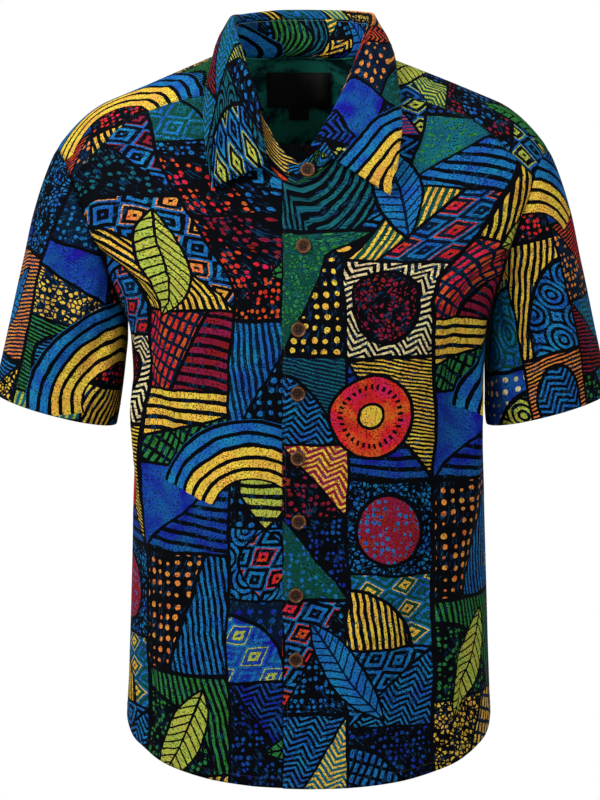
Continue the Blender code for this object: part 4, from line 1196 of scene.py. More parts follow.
surface = trimmed(yoke_grid(), ("left", "right", "bottom", "top"))
places = yoke_place(surface.reshape(-1, 3)).reshape(*surface.shape[:2], 2)
measure = places * (math.hypot(1, RIDGE_SLOPE), YOKE_ROUND)
lift = crease_lift(measure[..., 0], measure[..., 1], YOKE_CREASES)
lift = lift + seam_dip(surface, ("left", "right", "bottom", "top"))
yoke_surface = raised(surface, lift, YOKE_MIDDLE)
yoke_piece = shell(
    "yoke_cloth",
    yoke_surface,
    measure + YOKE_PRINT,
    (printed, yoke_inside),
    CLOTH,
    YOKE_MIDDLE,
    "yoke",
)
yoke_piece.modifiers["wall"].material_offset_rim = 1

# The sleeves. Short, set into the armholes, a little wider at the hem, which stands open. Soft
# creases run round from the armpit and down the front of the arm.

# The sleeve's hem ring, and the directions in which the sleeve leaves the armhole
SLEEVE_MIDDLE = 0.2412  # from the body's middle to the hem ring's middle
SLEEVE_LEAN = 0.0025
SLEEVE_HEM = -0.3530  # height of the ring's middle
SLEEVE_HALF = 0.0615  # half width of the ring
SLEEVE_DEPTH = 0.0600  # half depth of the ring
SLEEVE_TILT = math.radians(15.4)
SLEEVE_START = (
    # angle in degrees, outwards, backwards, upwards, pull at the armhole, pull at the hem
    (0, 0.47, 0.00, -0.88, 0.190, 0.200),
    (45, 0.46, -0.20, -0.86, 0.170, 0.190),
    (90, 0.28, -0.12, -0.95, 0.130, 0.150),
    (135, 0.08, -0.03, -1.00, 0.110, 0.080),
    (180, 0.00, 0.00, -1.00, 0.100, 0.045),
    (225, 0.08, 0.03, -1.00, 0.110, 0.080),
    (270, 0.28, 0.12, -0.95, 0.130, 0.150),
    (315, 0.46, 0.20, -0.86, 0.170, 0.190),
    (360, 0.47, 0.00, -0.88, 0.190, 0.200),
)
UNDERARM_STEP = 0.0021  # the sleeve's start lies this far outside the body under the arm

# Soft folds of a sleeve, by angle from its top over the front
SLEEVE_FOLDS = (
    # angle, half width in degrees, start and end along the sleeve, height of the ridge
    (58, 17, 0.10, 0.85, 0.0040),
    (98, 14, 0.20, 1.00, -0.0035),
    (128, 14, 0.02, 0.80, 0.0045),
    (216, 15, 0.02, 0.85, 0.0045),
    (262, 16, 0.20, 1.00, -0.0035),
    (306, 16, 0.10, 0.90, 0.0040),
)

SLEEVE_ROWS = 11 * FINE


def sleeve_angles():
    """The angles round an armhole at which the pieces sewn to it have their points."""
    front = np.linspace(180, YOKE_FRONT_ANGLE, ARMHOLE_FRONT_ROWS + 1)
    over = np.linspace(YOKE_FRONT_ANGLE, -YOKE_BACK_ANGLE, ARMHOLE_YOKE_ROWS + 1)
    back = np.linspace(-YOKE_BACK_ANGLE, -180, ARMHOLE_BACK_ROWS + 1)
    return np.concatenate([front, over[1:], back[1:-1]])


def sleeve_grid(side):
    """A sleeve: each of its lines leaves the armhole in its own direction and runs as one cubic
    curve to the tilted hem ring."""
    angles = sleeve_angles()
    around = angles % 360
    heading = np.stack([smooth(SLEEVE_START, k, around) for k in (1, 2, 3)], axis=-1)
    heading = unit(heading * (side, 1, 1))
    under = ease((np.abs((angles + 180) % 360 - 180) - 60) / 70)[:, None]
    start = armhole_ring(side, angles) + heading * SEAM_GAP
    start = start + np.array([side * UNDERARM_STEP, 0, 0]) * under
    turn = np.radians(angles)
    out = np.array([side * math.cos(SLEEVE_TILT), 0, math.sin(SLEEVE_TILT)])
    down = np.array([side * math.sin(SLEEVE_TILT), 0, -math.cos(SLEEVE_TILT)])
    middle = np.array([side * SLEEVE_MIDDLE + SLEEVE_LEAN, 0, SLEEVE_HEM])
    ring = middle + SLEEVE_HALF * np.cos(turn)[:, None] * out
    ring = ring - SLEEVE_DEPTH * np.sin(turn)[:, None] * np.array([0, 1, 0])
    pull = smooth(SLEEVE_START, 4, around)[:, None] * heading
    reach = smooth(SLEEVE_START, 5, around)[:, None] * down
    t = np.linspace(0, 1, SLEEVE_ROWS + 1)[:, None, None]
    grid = start * (1 + 2 * t) * (1 - t) ** 2 + pull * t * (1 - t) ** 2
    grid = grid + ring * t * t * (3 - 2 * t) - reach * t * t * (1 - t)
    outward = unit(np.cos(turn)[:, None] * out - np.sin(turn)[:, None] * np.array([0, 1, 0]))
    lift = np.zeros(grid.shape[:2])
    for angle, half, first, last, rise in SLEEVE_FOLDS:
        across = (angles - angle + 180) % 360 - 180
        run = ease((t[..., 0] - first) / 0.3) * ease((last - t[..., 0]) / 0.3 + 0.25)
        lift = lift + rise * np.exp(-((across / half) ** 2)) * run
    return grid + outward[None] * lift[..., None]


SLEEVE_CREASES = (
    # round from the top, distance from the hem, then the same, half width, height
    (-0.060, 0.190, -0.085, 0.020, 0.0120, -0.0061),
    (-0.105, 0.150, -0.070, 0.010, 0.0110, 0.0057),
    (-0.140, 0.120, -0.110, 0.010, 0.0100, -0.0065),
    (0.065, 0.180, 0.090, 0.015, 0.0120, -0.0061),
    (0.110, 0.150, 0.075, 0.010, 0.0110, 0.0053),
    (0.140, 0.120, 0.115, 0.012, 0.0100, -0.0061),
    (0.010, 0.170, 0.020, 0.030, 0.0140, -0.0024),
)
SLEEVE_ROUND = 0.380  # round the sleeve's hem
SLEEVE_PRINT = {1: (0.56, 0.20), -1: (0.80, 0.33)}  # where each is cut from the printed cloth
ARM_MIDDLE = (0.235, 0.0, -0.28)  # inside the left sleeve, whose outside faces away from there

sleeve_surfaces = {}
for side, word in ((1, "left"), (-1, "right")):
    surface = sleeve_grid(side)
    angles = sleeve_angles()
    around = np.append(angles, angles[0] - 360) / 360 * SLEEVE_ROUND
    closed = np.concatenate([surface, surface[:, :1]], axis=1)
    up = run_along(closed[::-1], 0, np.zeros(closed.shape[1]))[::-1]
    measure = np.stack([np.broadcast_to(around * side, up.shape), up], axis=-1)
    lift = crease_lift(measure[:, :-1, 0] * side, up[:, :-1], SLEEVE_CREASES)
    lift = lift * ease(up[0, :-1] / 0.05)
    lift = lift - DIP * np.exp(-(((up[0] - up)[:, :-1] / DIP_REACH) ** 2))
    middle = np.array(ARM_MIDDLE) * (side, 1, 1)
    surface = raised(surface, lift, middle, around=True)
    piece = shell(
        f"{word}_sleeve_cloth",
        surface,
        measure + SLEEVE_PRINT[side],
        (printed, reverse),
        CLOTH,
        middle,
        f"{word}_sleeve",
        around=True,
    )
    sleeve_surfaces[side] = surface

# The collar. A stand goes round the neck and laps under its button, and the leaf is sewn to its
# top, rolls over and falls to two points. Both are stiffened with interlining.

COLLAR_CLOTH = 0.0016  # wall of the interlined stand and leaf
NECK_MIDDLE = (0.0, 0.0, -0.03)  # the outside of the collar faces away from this place
STAND_GAP = 0.0005  # of the stand's own edge from the neck seam, where it turns up
STAND_LAP = 0.0027  # from the stand's overlapping end's middle to the end under it
STAND_PRINT, LEAF_PRINT = (0.05, 0.61), (0.47, 0.30)  # where they are cut from the printed cloth

# The collar's leaf: where its free edge runs, by turn round the neck from the front over the
# wearer's right shoulder. It starts at the right leaf's front corner, and both points are rows.
LEAF_EDGE = (
    # turn in degrees, sideways, backwards, height, how far the roll stands above the stand
    (34.0, -0.0293, -0.0960, -0.1100, 0.0030),
    (43.0, -0.0560, -0.0970, -0.1220, 0.0045),
    (51.5, -0.0821, -0.0960, -0.1335, 0.0055),
    (60.0, -0.0868, -0.0900, -0.1000, 0.0065),
    (67.0, -0.0900, -0.0720, -0.0690, 0.0075),
    (80.0, -0.0825, -0.0230, -0.0150, 0.0075),
    (100.0, -0.0745, 0.0240, -0.0080, 0.0072),
    (135.0, -0.0505, 0.0675, -0.0150, 0.0078),
    (160.0, -0.0265, 0.0830, -0.0190, 0.0095),
    (180.0, 0.0025, 0.0865, -0.0200, 0.0095),
    (200.0, 0.0290, 0.0830, -0.0190, 0.0095),
    (225.0, 0.0600, 0.0680, -0.0150, 0.0095),
    (260.0, 0.0850, 0.0240, -0.0080, 0.0092),
    (280.0, 0.0915, -0.0230, -0.0150, 0.0085),
    (293.8, 0.0965, -0.0720, -0.0690, 0.0075),
    (308.0, 0.0945, -0.0880, -0.0950, 0.0060),
    (332.3, 0.0895, -0.0960, -0.1250, 0.0045),
    (345.3, 0.0850, -0.0980, -0.1400, 0.0040),
)
LEAF_CORNER = 2  # the row at the right point, where the edge turns a corner
LEAF_ROLL = 0.0030  # how far the roll's top stands outside the stand
ROLL_RISE = 0.70  # share of the roll's height where it is still over the stand
ROLL_TURN = (0.55, 2.3)  # share of its height, and of its reach outwards, where it turns down
LEAF_BELLY = 0.0020  # how far the leaf bows outwards below the roll
LEAF_FALL = ((0.45, 1.0), (0.75, 0.7))  # two places down to the edge, and their shares of the bow
LEAF_CLEAR = 0.0027  # from the body's middle surface to the leaf's

STAND_ROWS = 3 * FINE
STAND_ENDS = (0.78, 0.95, 1.0)  # height of the stand at the first lines from each end
UNDER_LINES, UNDER_FADE = 2.0, 3.0  # lines of the end under the lap, and lines that fade from it


def stand_angles():
    """The angles round the neck of the stand's lines, from its end under the lap to its end over
    it."""
    front = np.array(NECK_FRONT_ANGLES)
    return np.concatenate([-front, yoke_angles()[::-1][1:-1], front[OVERLAP_END:][::-1]])


def outside(points):
    """Above 0 outside the body's cloth and below it inside: the cross-section at a place sideways
    is an ellipse about the shoulder's core line."""
    x, y, z = points.T
    depth = np.where(y < 0, body_depth(x, z, -1), body_depth(x, z, 1))
    return (y / depth) ** 2 + (1 - (ridge(x) - z) / SHOULDER_DROP) ** 2 - 1


def inward_tangent(angles):
    """The direction in which the body's cloth runs into the neck seam: square to the seam and to
    the cloth's own normal."""
    seam, step = neck_seam(angles), 1e-4
    steps = step * np.eye(3)
    normal = np.stack([outside(seam + d) - outside(seam - d) for d in steps], axis=-1)
    along = neck_seam(np.asarray(angles) + 0.5) - neck_seam(np.asarray(angles) - 0.5)
    return unit(np.cross(unit(normal), unit(along)))


def stand_grid():
    """The stand: each line leaves the neck seam as the body's cloth reaches it, and bends up to
    the stand's top. Its end under the lap lies inside the other, and both ends are rounded."""
    angles = stand_angles()
    seam, top = neck_seam(angles), fold_line(angles)
    order = np.arange(len(angles))
    ends = np.minimum(order, order[::-1])
    height = np.interp(ends / FINE, range(len(STAND_ENDS)), STAND_ENDS)[:, None]
    top = seam + (top - seam) * height
    tall = np.linalg.norm(top - seam, axis=1, keepdims=True)
    start = inward_tangent(angles) * tall
    away = np.abs((angles + 180) % 360 - 180)
    lean = smooth(FOLD, 2, away)[:, None] * unit(seam * (1, 1, 0))
    finish = unit(np.array([0, 0, 1]) + lean) * tall
    t = np.linspace(0, 1, STAND_ROWS + 1)[:, None, None]
    grid = seam * (1 + 2 * t) * (1 - t) ** 2 + start * t * (1 - t) ** 2
    grid = grid + top * t * t * (3 - 2 * t) - finish * t * t * (1 - t)
    under = 1 - ease((order / FINE - UNDER_LINES) / UNDER_FADE)
    sink = unit(-seam * (1, 1, 0)) * (under * STAND_LAP)[:, None]
    return grid + sink[None]


def leaf_grid():
    """The leaf: it rises from the stand's top, rolls over outwards and falls to its outer edge,
    as a curve through five points on each line."""
    front = np.array(NECK_FRONT_ANGLES)
    angles = np.concatenate(
        [
            -front[LEAF_START_UNDER:],
            yoke_angles()[::-1][1:-1],
            front[LEAF_START_OVER:][::-1],
        ]
    )
    places = list(stand_angles())
    stand = stand_grid()
    first = places.index(-front[LEAF_START_UNDER])
    top = stand[-1, first : first + len(angles)]
    along = unit(np.gradient(top, axis=0))
    rise = top - stand[-2, first : first + len(angles)]
    rise = unit(rise - along * (rise * along).sum(axis=1, keepdims=True))
    turn = -angles % 360
    before, after = LEAF_EDGE[: LEAF_CORNER + 1], LEAF_EDGE[LEAF_CORNER:]
    first_part = turn[:, None] < LEAF_EDGE[LEAF_CORNER][0]
    edge = [np.stack([smooth(rows, k, turn) for k in (1, 2, 3)], -1) for rows in (before, after)]
    edge = np.where(first_part, *edge)
    roll = smooth(LEAF_EDGE, 4, turn)[:, None]
    out = np.cross(rise, along)
    out = out * np.sign((out * top * (1, 1, 0)).sum(axis=1, keepdims=True))
    start = top + rise * SEAM_GAP
    low = top + rise * roll * ROLL_RISE
    crest = top + rise * roll + out * LEAF_ROLL
    turned = top + rise * roll * ROLL_TURN[0] + out * LEAF_ROLL * ROLL_TURN[1]
    across = unit(np.cross(edge - turned, np.gradient(turned, axis=0)))
    across = across * np.sign((across * out).sum(axis=1, keepdims=True))
    rows = [turned + (edge - turned) * t + across * LEAF_BELLY * bow for t, bow in LEAF_FALL]
    falling = [clear_of_body(row, LEAF_CLEAR) for row in (*rows, edge)]
    return np.stack([start, low, crest, turned, *falling])


def clear_of_body(points, gap):
    """The points, pushed away from the shoulder's core line at their place sideways until they lie
    outside the body by the gap. The body's cross-section there is half an ellipse over a wall."""
    x, y, z = points.T
    core = np.minimum(ridge(x) - SHOULDER_DROP, z)
    depth = np.where(y < 0, body_depth(x, z, -1), body_depth(x, z, 1))
    away = np.hypot(y / depth, (z - core) / SHOULDER_DROP)
    length = np.hypot(y, z - core)
    factor = np.maximum((1 + gap / length) / away, 1)
    return np.stack([x, y * factor, core + (z - core) * factor], axis=-1)


LEAF_STEPS = 6  # squares between two of the seven rows that shape the leaf
LEAF_SPREAD = 0.4  # share of its outer edge's extra length that the leaf's print follows


def through(rows, steps):
    """More rows on smooth curves through the given ones: cubic pieces whose slopes at each row are
    half the step between its neighbours."""
    slopes = np.gradient(rows, axis=0)
    t = (np.arange(steps) / steps)[None, :, None, None]
    first, last = rows[:-1, None], rows[1:, None]
    grid = first * (1 + 2 * t) * (1 - t) ** 2 + slopes[:-1, None] * t * (1 - t) ** 2
    grid = grid + last * t * t * (3 - 2 * t) - slopes[1:, None] * t * t * (1 - t)
    return np.concatenate([grid.reshape(-1, *rows.shape[1:]), rows[-1:]])


stand_surface = trimmed(stand_grid(), ("bottom",), STAND_GAP)
across = run_along(stand_surface, 1, np.zeros(len(stand_surface)))
along = run_along(stand_surface, 0, np.zeros(stand_surface.shape[1]))
stand_piece = shell(
    "collar_stand_cloth",
    stand_surface,
    np.stack([across, along], axis=-1) + STAND_PRINT,
    (printed,),
    COLLAR_CLOTH,
    NECK_MIDDLE,
    "collar_stand",
)

leaf_surface = through(leaf_grid(), LEAF_STEPS)
across = np.broadcast_to(run_along(leaf_surface[-1:], 1, np.zeros(1)), leaf_surface.shape[:2])
top = run_along(leaf_surface[:1], 1, np.zeros(1))
share = np.linspace(0, 1, len(leaf_surface))[:, None]
across = top + (across - top) * share * LEAF_SPREAD
along = run_along(leaf_surface, 0, np.zeros(leaf_surface.shape[1]))
leaf_piece = shell(
    "collar_leaf_cloth",
    leaf_surface,
    np.stack([across, -along], axis=-1) + LEAF_PRINT,
    (printed,),
    COLLAR_CLOTH,
    NECK_MIDDLE,
    "collar_leaf",
)

# The label and the tab under it. Plain black damask, sewn by their edges to the middle of the
# back yoke's inside.

LABEL_CLOTH = 0.0008  # wall of the label and the tab
REST_GAP = 0.0003  # twice this lies between the label and the tab
LABEL_HALF, LABEL_DROP = 0.0320, 0.0350  # the label's half width, and its height
LABEL_TOP = -0.0285  # height of its upper edge
TAB_HALF, TAB_DROP = 0.0098, 0.0125  # the tab's half width, and its height
TAB_TOP = LABEL_TOP - LABEL_DROP - REST_GAP * 2
LABEL_INSET = 0.0017  # from the yoke's middle surface to the label's
LABEL_BEHIND = (0.0, 0.5, -0.03)  # behind the back: the shown side of both faces away from it
LABEL_COLUMNS, LABEL_ROWS = 7, 4  # points across and down each
LABEL_RIB = 0.0007  # from one rib of the damask to the next


def label_grid(half, top, drop):
    """A label on the inside of the back yoke: the yoke's own surface, moved in."""
    x = np.linspace(-half, half, LABEL_COLUMNS)[None, :]
    z = top - np.linspace(0, drop, LABEL_ROWS)[:, None]
    grid = body_point(body_angle(x + 0 * z, z + 0 * x), z + 0 * x, 1)
    across = np.gradient(grid, axis=1)
    down = np.gradient(grid, axis=0)
    inward = unit(np.cross(across, down))
    inward = inward * -np.sign(inward[..., 1:2])
    return grid + inward * LABEL_INSET


def label_finish():
    """Black damask: a close ribbed weave with a slight silk shine."""
    finish, tree, shader = begun("black_damask", 0.12)
    shader.inputs["Roughness"].default_value = 0.50
    place = measured(tree)
    apart = tree.nodes.new("ShaderNodeSeparateXYZ")
    tree.links.new(place, apart.inputs[0])
    rib = calc(tree, "SINE", calc(tree, "MULTIPLY", apart.outputs[1], 2 * math.pi / LABEL_RIB))
    _, cloud = noise(tree, place, 300.0)
    colour = mixed(tree, cloud, (0.0020, 0.0020, 0.0024, 1), (0.0075, 0.0075, 0.0085, 1))
    tree.links.new(colour, shader.inputs["Base Color"])
    embossed(tree, shader, rib, 0.0002)
    return finish


damask = label_finish()
for node, half, top, drop, cut in (
    ("neck_label", LABEL_HALF, LABEL_TOP, LABEL_DROP, (0.065, 0.041)),
    ("size_tab", TAB_HALF, TAB_TOP, TAB_DROP, (0.0195, 0.0135)),
):
    surface = label_grid(half, top, drop)
    across = run_along(surface, 1, np.zeros(len(surface)))
    along = run_along(surface, 0, np.zeros(surface.shape[1]))
    piece = shell(
        f"{node}_weave",
        surface,
        np.stack([across, along], axis=-1),
        (damask,),
        LABEL_CLOTH,
        LABEL_BEHIND,
        node,
    )

# The sewing. Thread in short straight stitches: round the hems, down the front edge, along the
# yoke and round the collar, with a paler line where the leaf is sewn to the inside of the stand.

STITCH, STITCH_GAP = 0.0021, 0.0006  # length of a stitch, and the gap to the next
THREAD = 0.00024  # half the thread's width
TWIST = 0.0004  # from one turn of the thread's twist to the next
# a stitch's rings: place along it, and half width and height as shares of the thread's
STITCH_RINGS = ((0.12, 0.75, 0.2), (0.50, 1.0, 0.7), (0.88, 0.75, 0.2))
STITCH_SIDES = 5
# from the edge or seam to the row of stitches beside it
HEM_STITCH, EDGE_STITCH, YOKE_STITCH, COLLAR_STITCH = 0.0095, 0.0050, 0.0016, 0.0055
SLEEVE_STITCH = 0.019


def thread_finish(name, dark, light):
    """Twisted sewing thread: fine slanting twist, a little sheen, and uneven dye."""
    finish, tree, shader = begun(name, 0.25)
    shader.inputs["Roughness"].default_value = 0.55
    shader.inputs["Sheen Weight"].default_value = 0.10
    place = tree.nodes.new("ShaderNodeTexCoord").outputs["Object"]
    _, cloud = noise(tree, place, 900.0)
    tree.links.new(mixed(tree, cloud, dark, light), shader.inputs["Base Color"])
    apart = tree.nodes.new("ShaderNodeSeparateXYZ")
    tree.links.new(place, apart.inputs[0])
    slant = calc(tree, "ADD", apart.outputs[0], apart.outputs[2])
    twist = calc(tree, "SINE", calc(tree, "MULTIPLY", slant, 2 * math.pi / TWIST))
    embossed(tree, shader, twist, 0.0001)
    return finish


dark_thread = thread_finish("dark_thread", (0.004, 0.006, 0.012, 1), (0.012, 0.018, 0.034, 1))
pale_thread = thread_finish("pale_thread", (0.10, 0.15, 0.18, 1), (0.26, 0.32, 0.34, 1))


def faced(grid, wall, centre, side=1.0, around=False):
    """A grid's outer face, as six numbers a point: the place half a wall out along the normal that
    points away from a centre, and that normal. side -1 gives the inner face. A ring's last column
    is its first one again."""
    normal = normals_of(grid)
    if around:
        normal = normals_of(grid[:, :-1], around=True)
        normal = np.concatenate([normal, normal[:, :1]], axis=1)
    away = (normal * (grid - np.array(centre))).sum(axis=-1, keepdims=True)
    normal = normal * np.sign(away) * side
    return np.concatenate([grid + normal * wall / 2, normal], axis=-1)


def line_inside(grid, distance):
    """A line on a grid at a distance from its first column: on each row, the place where the
    length along the row reaches that distance."""
    steps = np.linalg.norm(np.diff(grid[..., :3], axis=1), axis=-1)
    length = np.concatenate([np.zeros((len(grid), 1)), np.cumsum(steps, axis=1)], axis=1)
    last = np.clip((length < distance).sum(axis=1), 1, grid.shape[1] - 1)
    rows = np.arange(len(grid))
    share = (distance - length[rows, last - 1]) / (length[rows, last] - length[rows, last - 1])
    return grid[rows, last - 1] + (grid[rows, last] - grid[rows, last - 1]) * share[:, None]


def lengths(line):
    """The distance of each of a line's points from its start, along the line."""
    return np.append(0, np.cumsum(np.linalg.norm(np.diff(line[:, :3], axis=0), axis=-1)))


def read_off(line, at):
    """A line's six numbers at distances from its start, in straight steps between its points."""
    along = lengths(line)
    return np.stack([np.interp(at, along, line[:, k]) for k in range(6)], axis=-1)


def part_of(line, start, end):
    """The stretch of a line between two distances from its start; below 0 counts from its end."""
    end = end if end > 0 else lengths(line)[-1] + end
    return read_off(line, np.linspace(start, end, len(line)))


def set_down(name, mesh, materials):
    """A smooth piece of the shirt from its finished mesh."""
    mesh.shade_smooth()
    for material in materials:
        mesh.materials.append(material)
    piece = bpy.data.objects.new(name, mesh)
    bpy.context.scene.collection.objects.link(piece)
    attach(piece, "root")
    return piece


def stitches(name, lines, material):
    """Stitches along lines on a face, as one piece. Each is a spindle from point to point: rings
    round its axis, lifted off the cloth in the middle, and its two ends sunk into the cloth."""
    starts, ends, normals = [], [], []
    for line in lines:
        at = np.arange(STITCH_GAP, lengths(line)[-1] - STITCH, STITCH + STITCH_GAP)
        starts.append(read_off(line, at)[:, :3])
        ends.append(read_off(line, at + STITCH)[:, :3])
        normals.append(unit(read_off(line, at + STITCH / 2)[:, 3:]))
    start, end, normal = (np.concatenate(part)[:, None] for part in (starts, ends, normals))
    side = unit(np.cross(normal, end - start))
    turn = np.arange(STITCH_SIDES) / STITCH_SIDES * 2 * math.pi
    ring = np.cos(turn)[None, :, None] * side + np.sin(turn)[None, :, None] * normal
    rings = [
        start + (end - start) * along + normal * THREAD * height + ring * THREAD * wide
        for along, wide, height in STITCH_RINGS
    ]
    tips = [start - normal * THREAD, end - normal * THREAD]
    points = np.concatenate([*rings, *tips], axis=1)
    k = np.arange(STITCH_SIDES)
    k_next = (k + 1) % STITCH_SIDES
    last = STITCH_SIDES * (len(STITCH_RINGS) - 1)
    tip = last + STITCH_SIDES
    faces = [
        np.stack([k_next + r, k + r, k + r + STITCH_SIDES, k_next + r + STITCH_SIDES], axis=-1)
        for r in range(0, last, STITCH_SIDES)
    ]
    ends_on = [
        np.stack([k, k_next, 0 * k + tip], axis=-1),
        np.stack([k_next + last, k + last, 0 * k + tip + 1], axis=-1),
    ]
    base = np.arange(len(points))[:, None, None] * points.shape[1]
    quads = (np.concatenate(faces) + base).reshape(-1, 4).tolist()
    thirds = (np.concatenate(ends_on) + base).reshape(-1, 3).tolist()
    mesh = bpy.data.meshes.new(name)
    mesh.from_pydata(points.reshape(-1, 3).tolist(), [], quads + thirds)
    return set_down(name, mesh, [material])


front_faces = {side: faced(front_surfaces[side], CLOTH, BODY_MIDDLE) for side in (1, -1)}
front_lines = []
for face in front_faces.values():
    hem = line_inside(face.swapaxes(0, 1), HEM_STITCH)
    edge = line_inside(face, EDGE_STITCH)
    front_lines += [part_of(hem, 0.004, -0.004), part_of(edge, 0.012, -0.004)]
stitches("front_stitches", front_lines, dark_thread)

face = faced(back_surface, CLOTH, BODY_MIDDLE)
hem = part_of(line_inside(face.swapaxes(0, 1), HEM_STITCH), 0.004, -0.004)
stitches("back_hem_stitches", [hem], dark_thread)

face = faced(yoke_surface, CLOTH, YOKE_MIDDLE)
outer = line_inside(face[:, ::-1], YOKE_STITCH)[ARMHOLE_YOKE_ROWS:-ARMHOLE_YOKE_ROWS]
fronts = [line_inside(rows.swapaxes(0, 1), YOKE_STITCH) for rows in (face, face[::-1])]
stitches("yoke_stitches", [outer, *(part_of(line, 0.003, -0.003) for line in fronts)], dark_thread)

sleeve_lines = []
for side, surface in sleeve_surfaces.items():
    middle = np.array(ARM_MIDDLE) * (side, 1, 1)
    closed = np.concatenate([surface, surface[:, :1]], axis=1)
    face = faced(closed, CLOTH, middle, around=True)
    sleeve_lines.append(line_inside(face[::-1].swapaxes(0, 1), SLEEVE_STITCH))
stitches("sleeve_hem_stitches", sleeve_lines, dark_thread)

face = faced(leaf_surface, COLLAR_CLOTH, NECK_MIDDLE)
falling = face[3 * LEAF_STEPS :]
edge = part_of(line_inside(face[::-1].swapaxes(0, 1), COLLAR_STITCH), 0.006, -COLLAR_STITCH)
ends = [line_inside(rows, COLLAR_STITCH) for rows in (falling, falling[:, ::-1])]
ends = [part_of(line, 0.002, -COLLAR_STITCH) for line in ends]
stitches("collar_edge_stitches", [edge, *ends], dark_thread)
face = faced(stand_surface, COLLAR_CLOTH, NECK_MIDDLE, side=-1.0)
stitches("stand_top_stitches", [line_inside(face[::-1].swapaxes(0, 1), YOKE_STITCH)], pale_thread)

# The buttons. Turned from a brown horn-like resin: a rounded rim, a groove and a dish with four
# holes, sewn on through the holes and wound with thread underneath. Their place is the solid's.

BUTTON_RADIUS = 0.0070
BUTTON_THICK = 0.0028
BUTTON_FACE = (
    # share of the radius, share of the thickness
    (0.00, 0.56),
    (0.50, 0.55),
    (0.62, 0.60),
    (0.70, 0.82),
    (0.76, 0.80),
    (0.80, 0.88),
    (0.88, 1.00),
    (0.95, 0.90),
    (1.00, 0.55),
)
BUTTON_BACK = ((0.96, 0.28), (0.82, 0.06), (0.60, 0.0))
HOLE_PLACE = 0.00150  # from the middle to each hole, sideways and upwards
HOLE_RADIUS = 0.00095
HOLE_EDGE = 0.00016  # over which a hole's edge rounds down
HOLE_FLOOR = 0.10  # share of the thickness left below each hole
DISH_EDGE = 0.72  # share of the radius out to which the face is the darker dish
BUTTON_RINGS, BUTTON_TURNS = 56, 96
BUTTON_HEART = 0.002  # share of the radius of the smallest ring, which closes the face
BUTTON_LEANS = (-9, 6, -4, 12, -7, 3, 9, -12)  # degrees by which each was turned as it was sewn
SEWING_THREAD = 0.00024  # half width of the thread through the holes
STRAND_REACH = 1.04  # how far each strand runs, as a share of the way from hole to hole
STRAND_LOW, STRAND_BOW = 0.42, 0.26  # its height at the holes and its bow, of the thickness
STRAND_CROSS = 0.0003  # how much higher the upper strand lies
SHANK_START, SHANK_LONG = -0.0010, 0.0012  # the winding under the button, from its back


def horn_finish(name, dark, light):
    """Brown resin like horn: streaks from dark to light, cloudy, with a polish that is worn."""
    finish, tree, shader = begun(name, 0.15)
    shader.inputs["Coat Weight"].default_value = 0.08
    shader.inputs["Coat Roughness"].default_value = 0.15
    place = tree.nodes.new("ShaderNodeTexCoord").outputs["Object"]
    spread = vector(tree, "MULTIPLY", place, (1.0, 1.0, 3.2))
    streak = calc(tree, "MULTIPLY", noise(tree, spread, 210.0, 4.0)[1], 1.5)
    cloud = calc(tree, "MULTIPLY", noise(tree, place, 70.0, 2.0)[1], 0.7)
    mask = calc(tree, "SUBTRACT", calc(tree, "ADD", streak, cloud), 0.60)
    tree.links.new(mixed(tree, mask, dark, light), shader.inputs["Base Color"])
    _, wear = noise(tree, place, 520.0, 3.0)
    rough = calc(tree, "ADD", calc(tree, "MULTIPLY", wear, 0.30), 0.22)
    tree.links.new(rough, shader.inputs["Roughness"])
    embossed(tree, shader, wear, 0.0002, 0.25)
    return finish


def button_shape():
    """A button about its own middle, as rings of points: the face's profile turned round, with
    four wells cut where the distance to a hole's middle is below its radius, then the back."""
    share, high = np.array(BUTTON_FACE).T
    r = np.linspace(0, 1, BUTTON_RINGS) ** 0.9
    r[0] = BUTTON_HEART
    turn = np.arange(BUTTON_TURNS) / BUTTON_TURNS * 2 * math.pi
    x = r[:, None] * BUTTON_RADIUS * np.cos(turn)
    y = r[:, None] * BUTTON_RADIUS * np.sin(turn)
    z = np.interp(r, share, high)[:, None] + 0 * x
    near = np.hypot(np.abs(x) - HOLE_PLACE, np.abs(y) - HOLE_PLACE)
    z = HOLE_FLOOR + (z - HOLE_FLOOR) * ease((near - HOLE_RADIUS) / HOLE_EDGE + 0.5)
    face = np.stack([x, y, z * BUTTON_THICK], axis=-1)
    back = [
        np.stack([x[-1] * share, y[-1] * share, 0 * x[-1] + high * BUTTON_THICK], axis=-1)
        for share, high in BUTTON_BACK
    ]
    return np.concatenate([face, np.stack(back)])


def tube(path, radius, sides=8):
    """A closed round tube along a path: rings square to it, with its two ends drawn to a point."""
    along = unit(np.gradient(path, axis=0))
    side = unit(np.cross(along, (0.31, 0.27, 0.91)))
    over = np.cross(along, side)
    turn = np.arange(sides) / sides * 2 * math.pi
    rings = path[:, None] + radius * (
        np.cos(turn)[None, :, None] * side[:, None] + np.sin(turn)[None, :, None] * over[:, None]
    )
    return np.concatenate([path[:1, None] + 0 * rings[:1], rings, path[-1:, None] + 0 * rings[:1]])


def facing_out(mesh):
    """Merges a closed mesh's doubled points and turns its faces outwards."""
    work = bmesh.new()
    work.from_mesh(mesh)
    bmesh.ops.remove_doubles(work, verts=work.verts, dist=1e-7)
    bmesh.ops.recalc_face_normals(work, faces=work.faces)
    work.to_mesh(mesh)
    work.free()


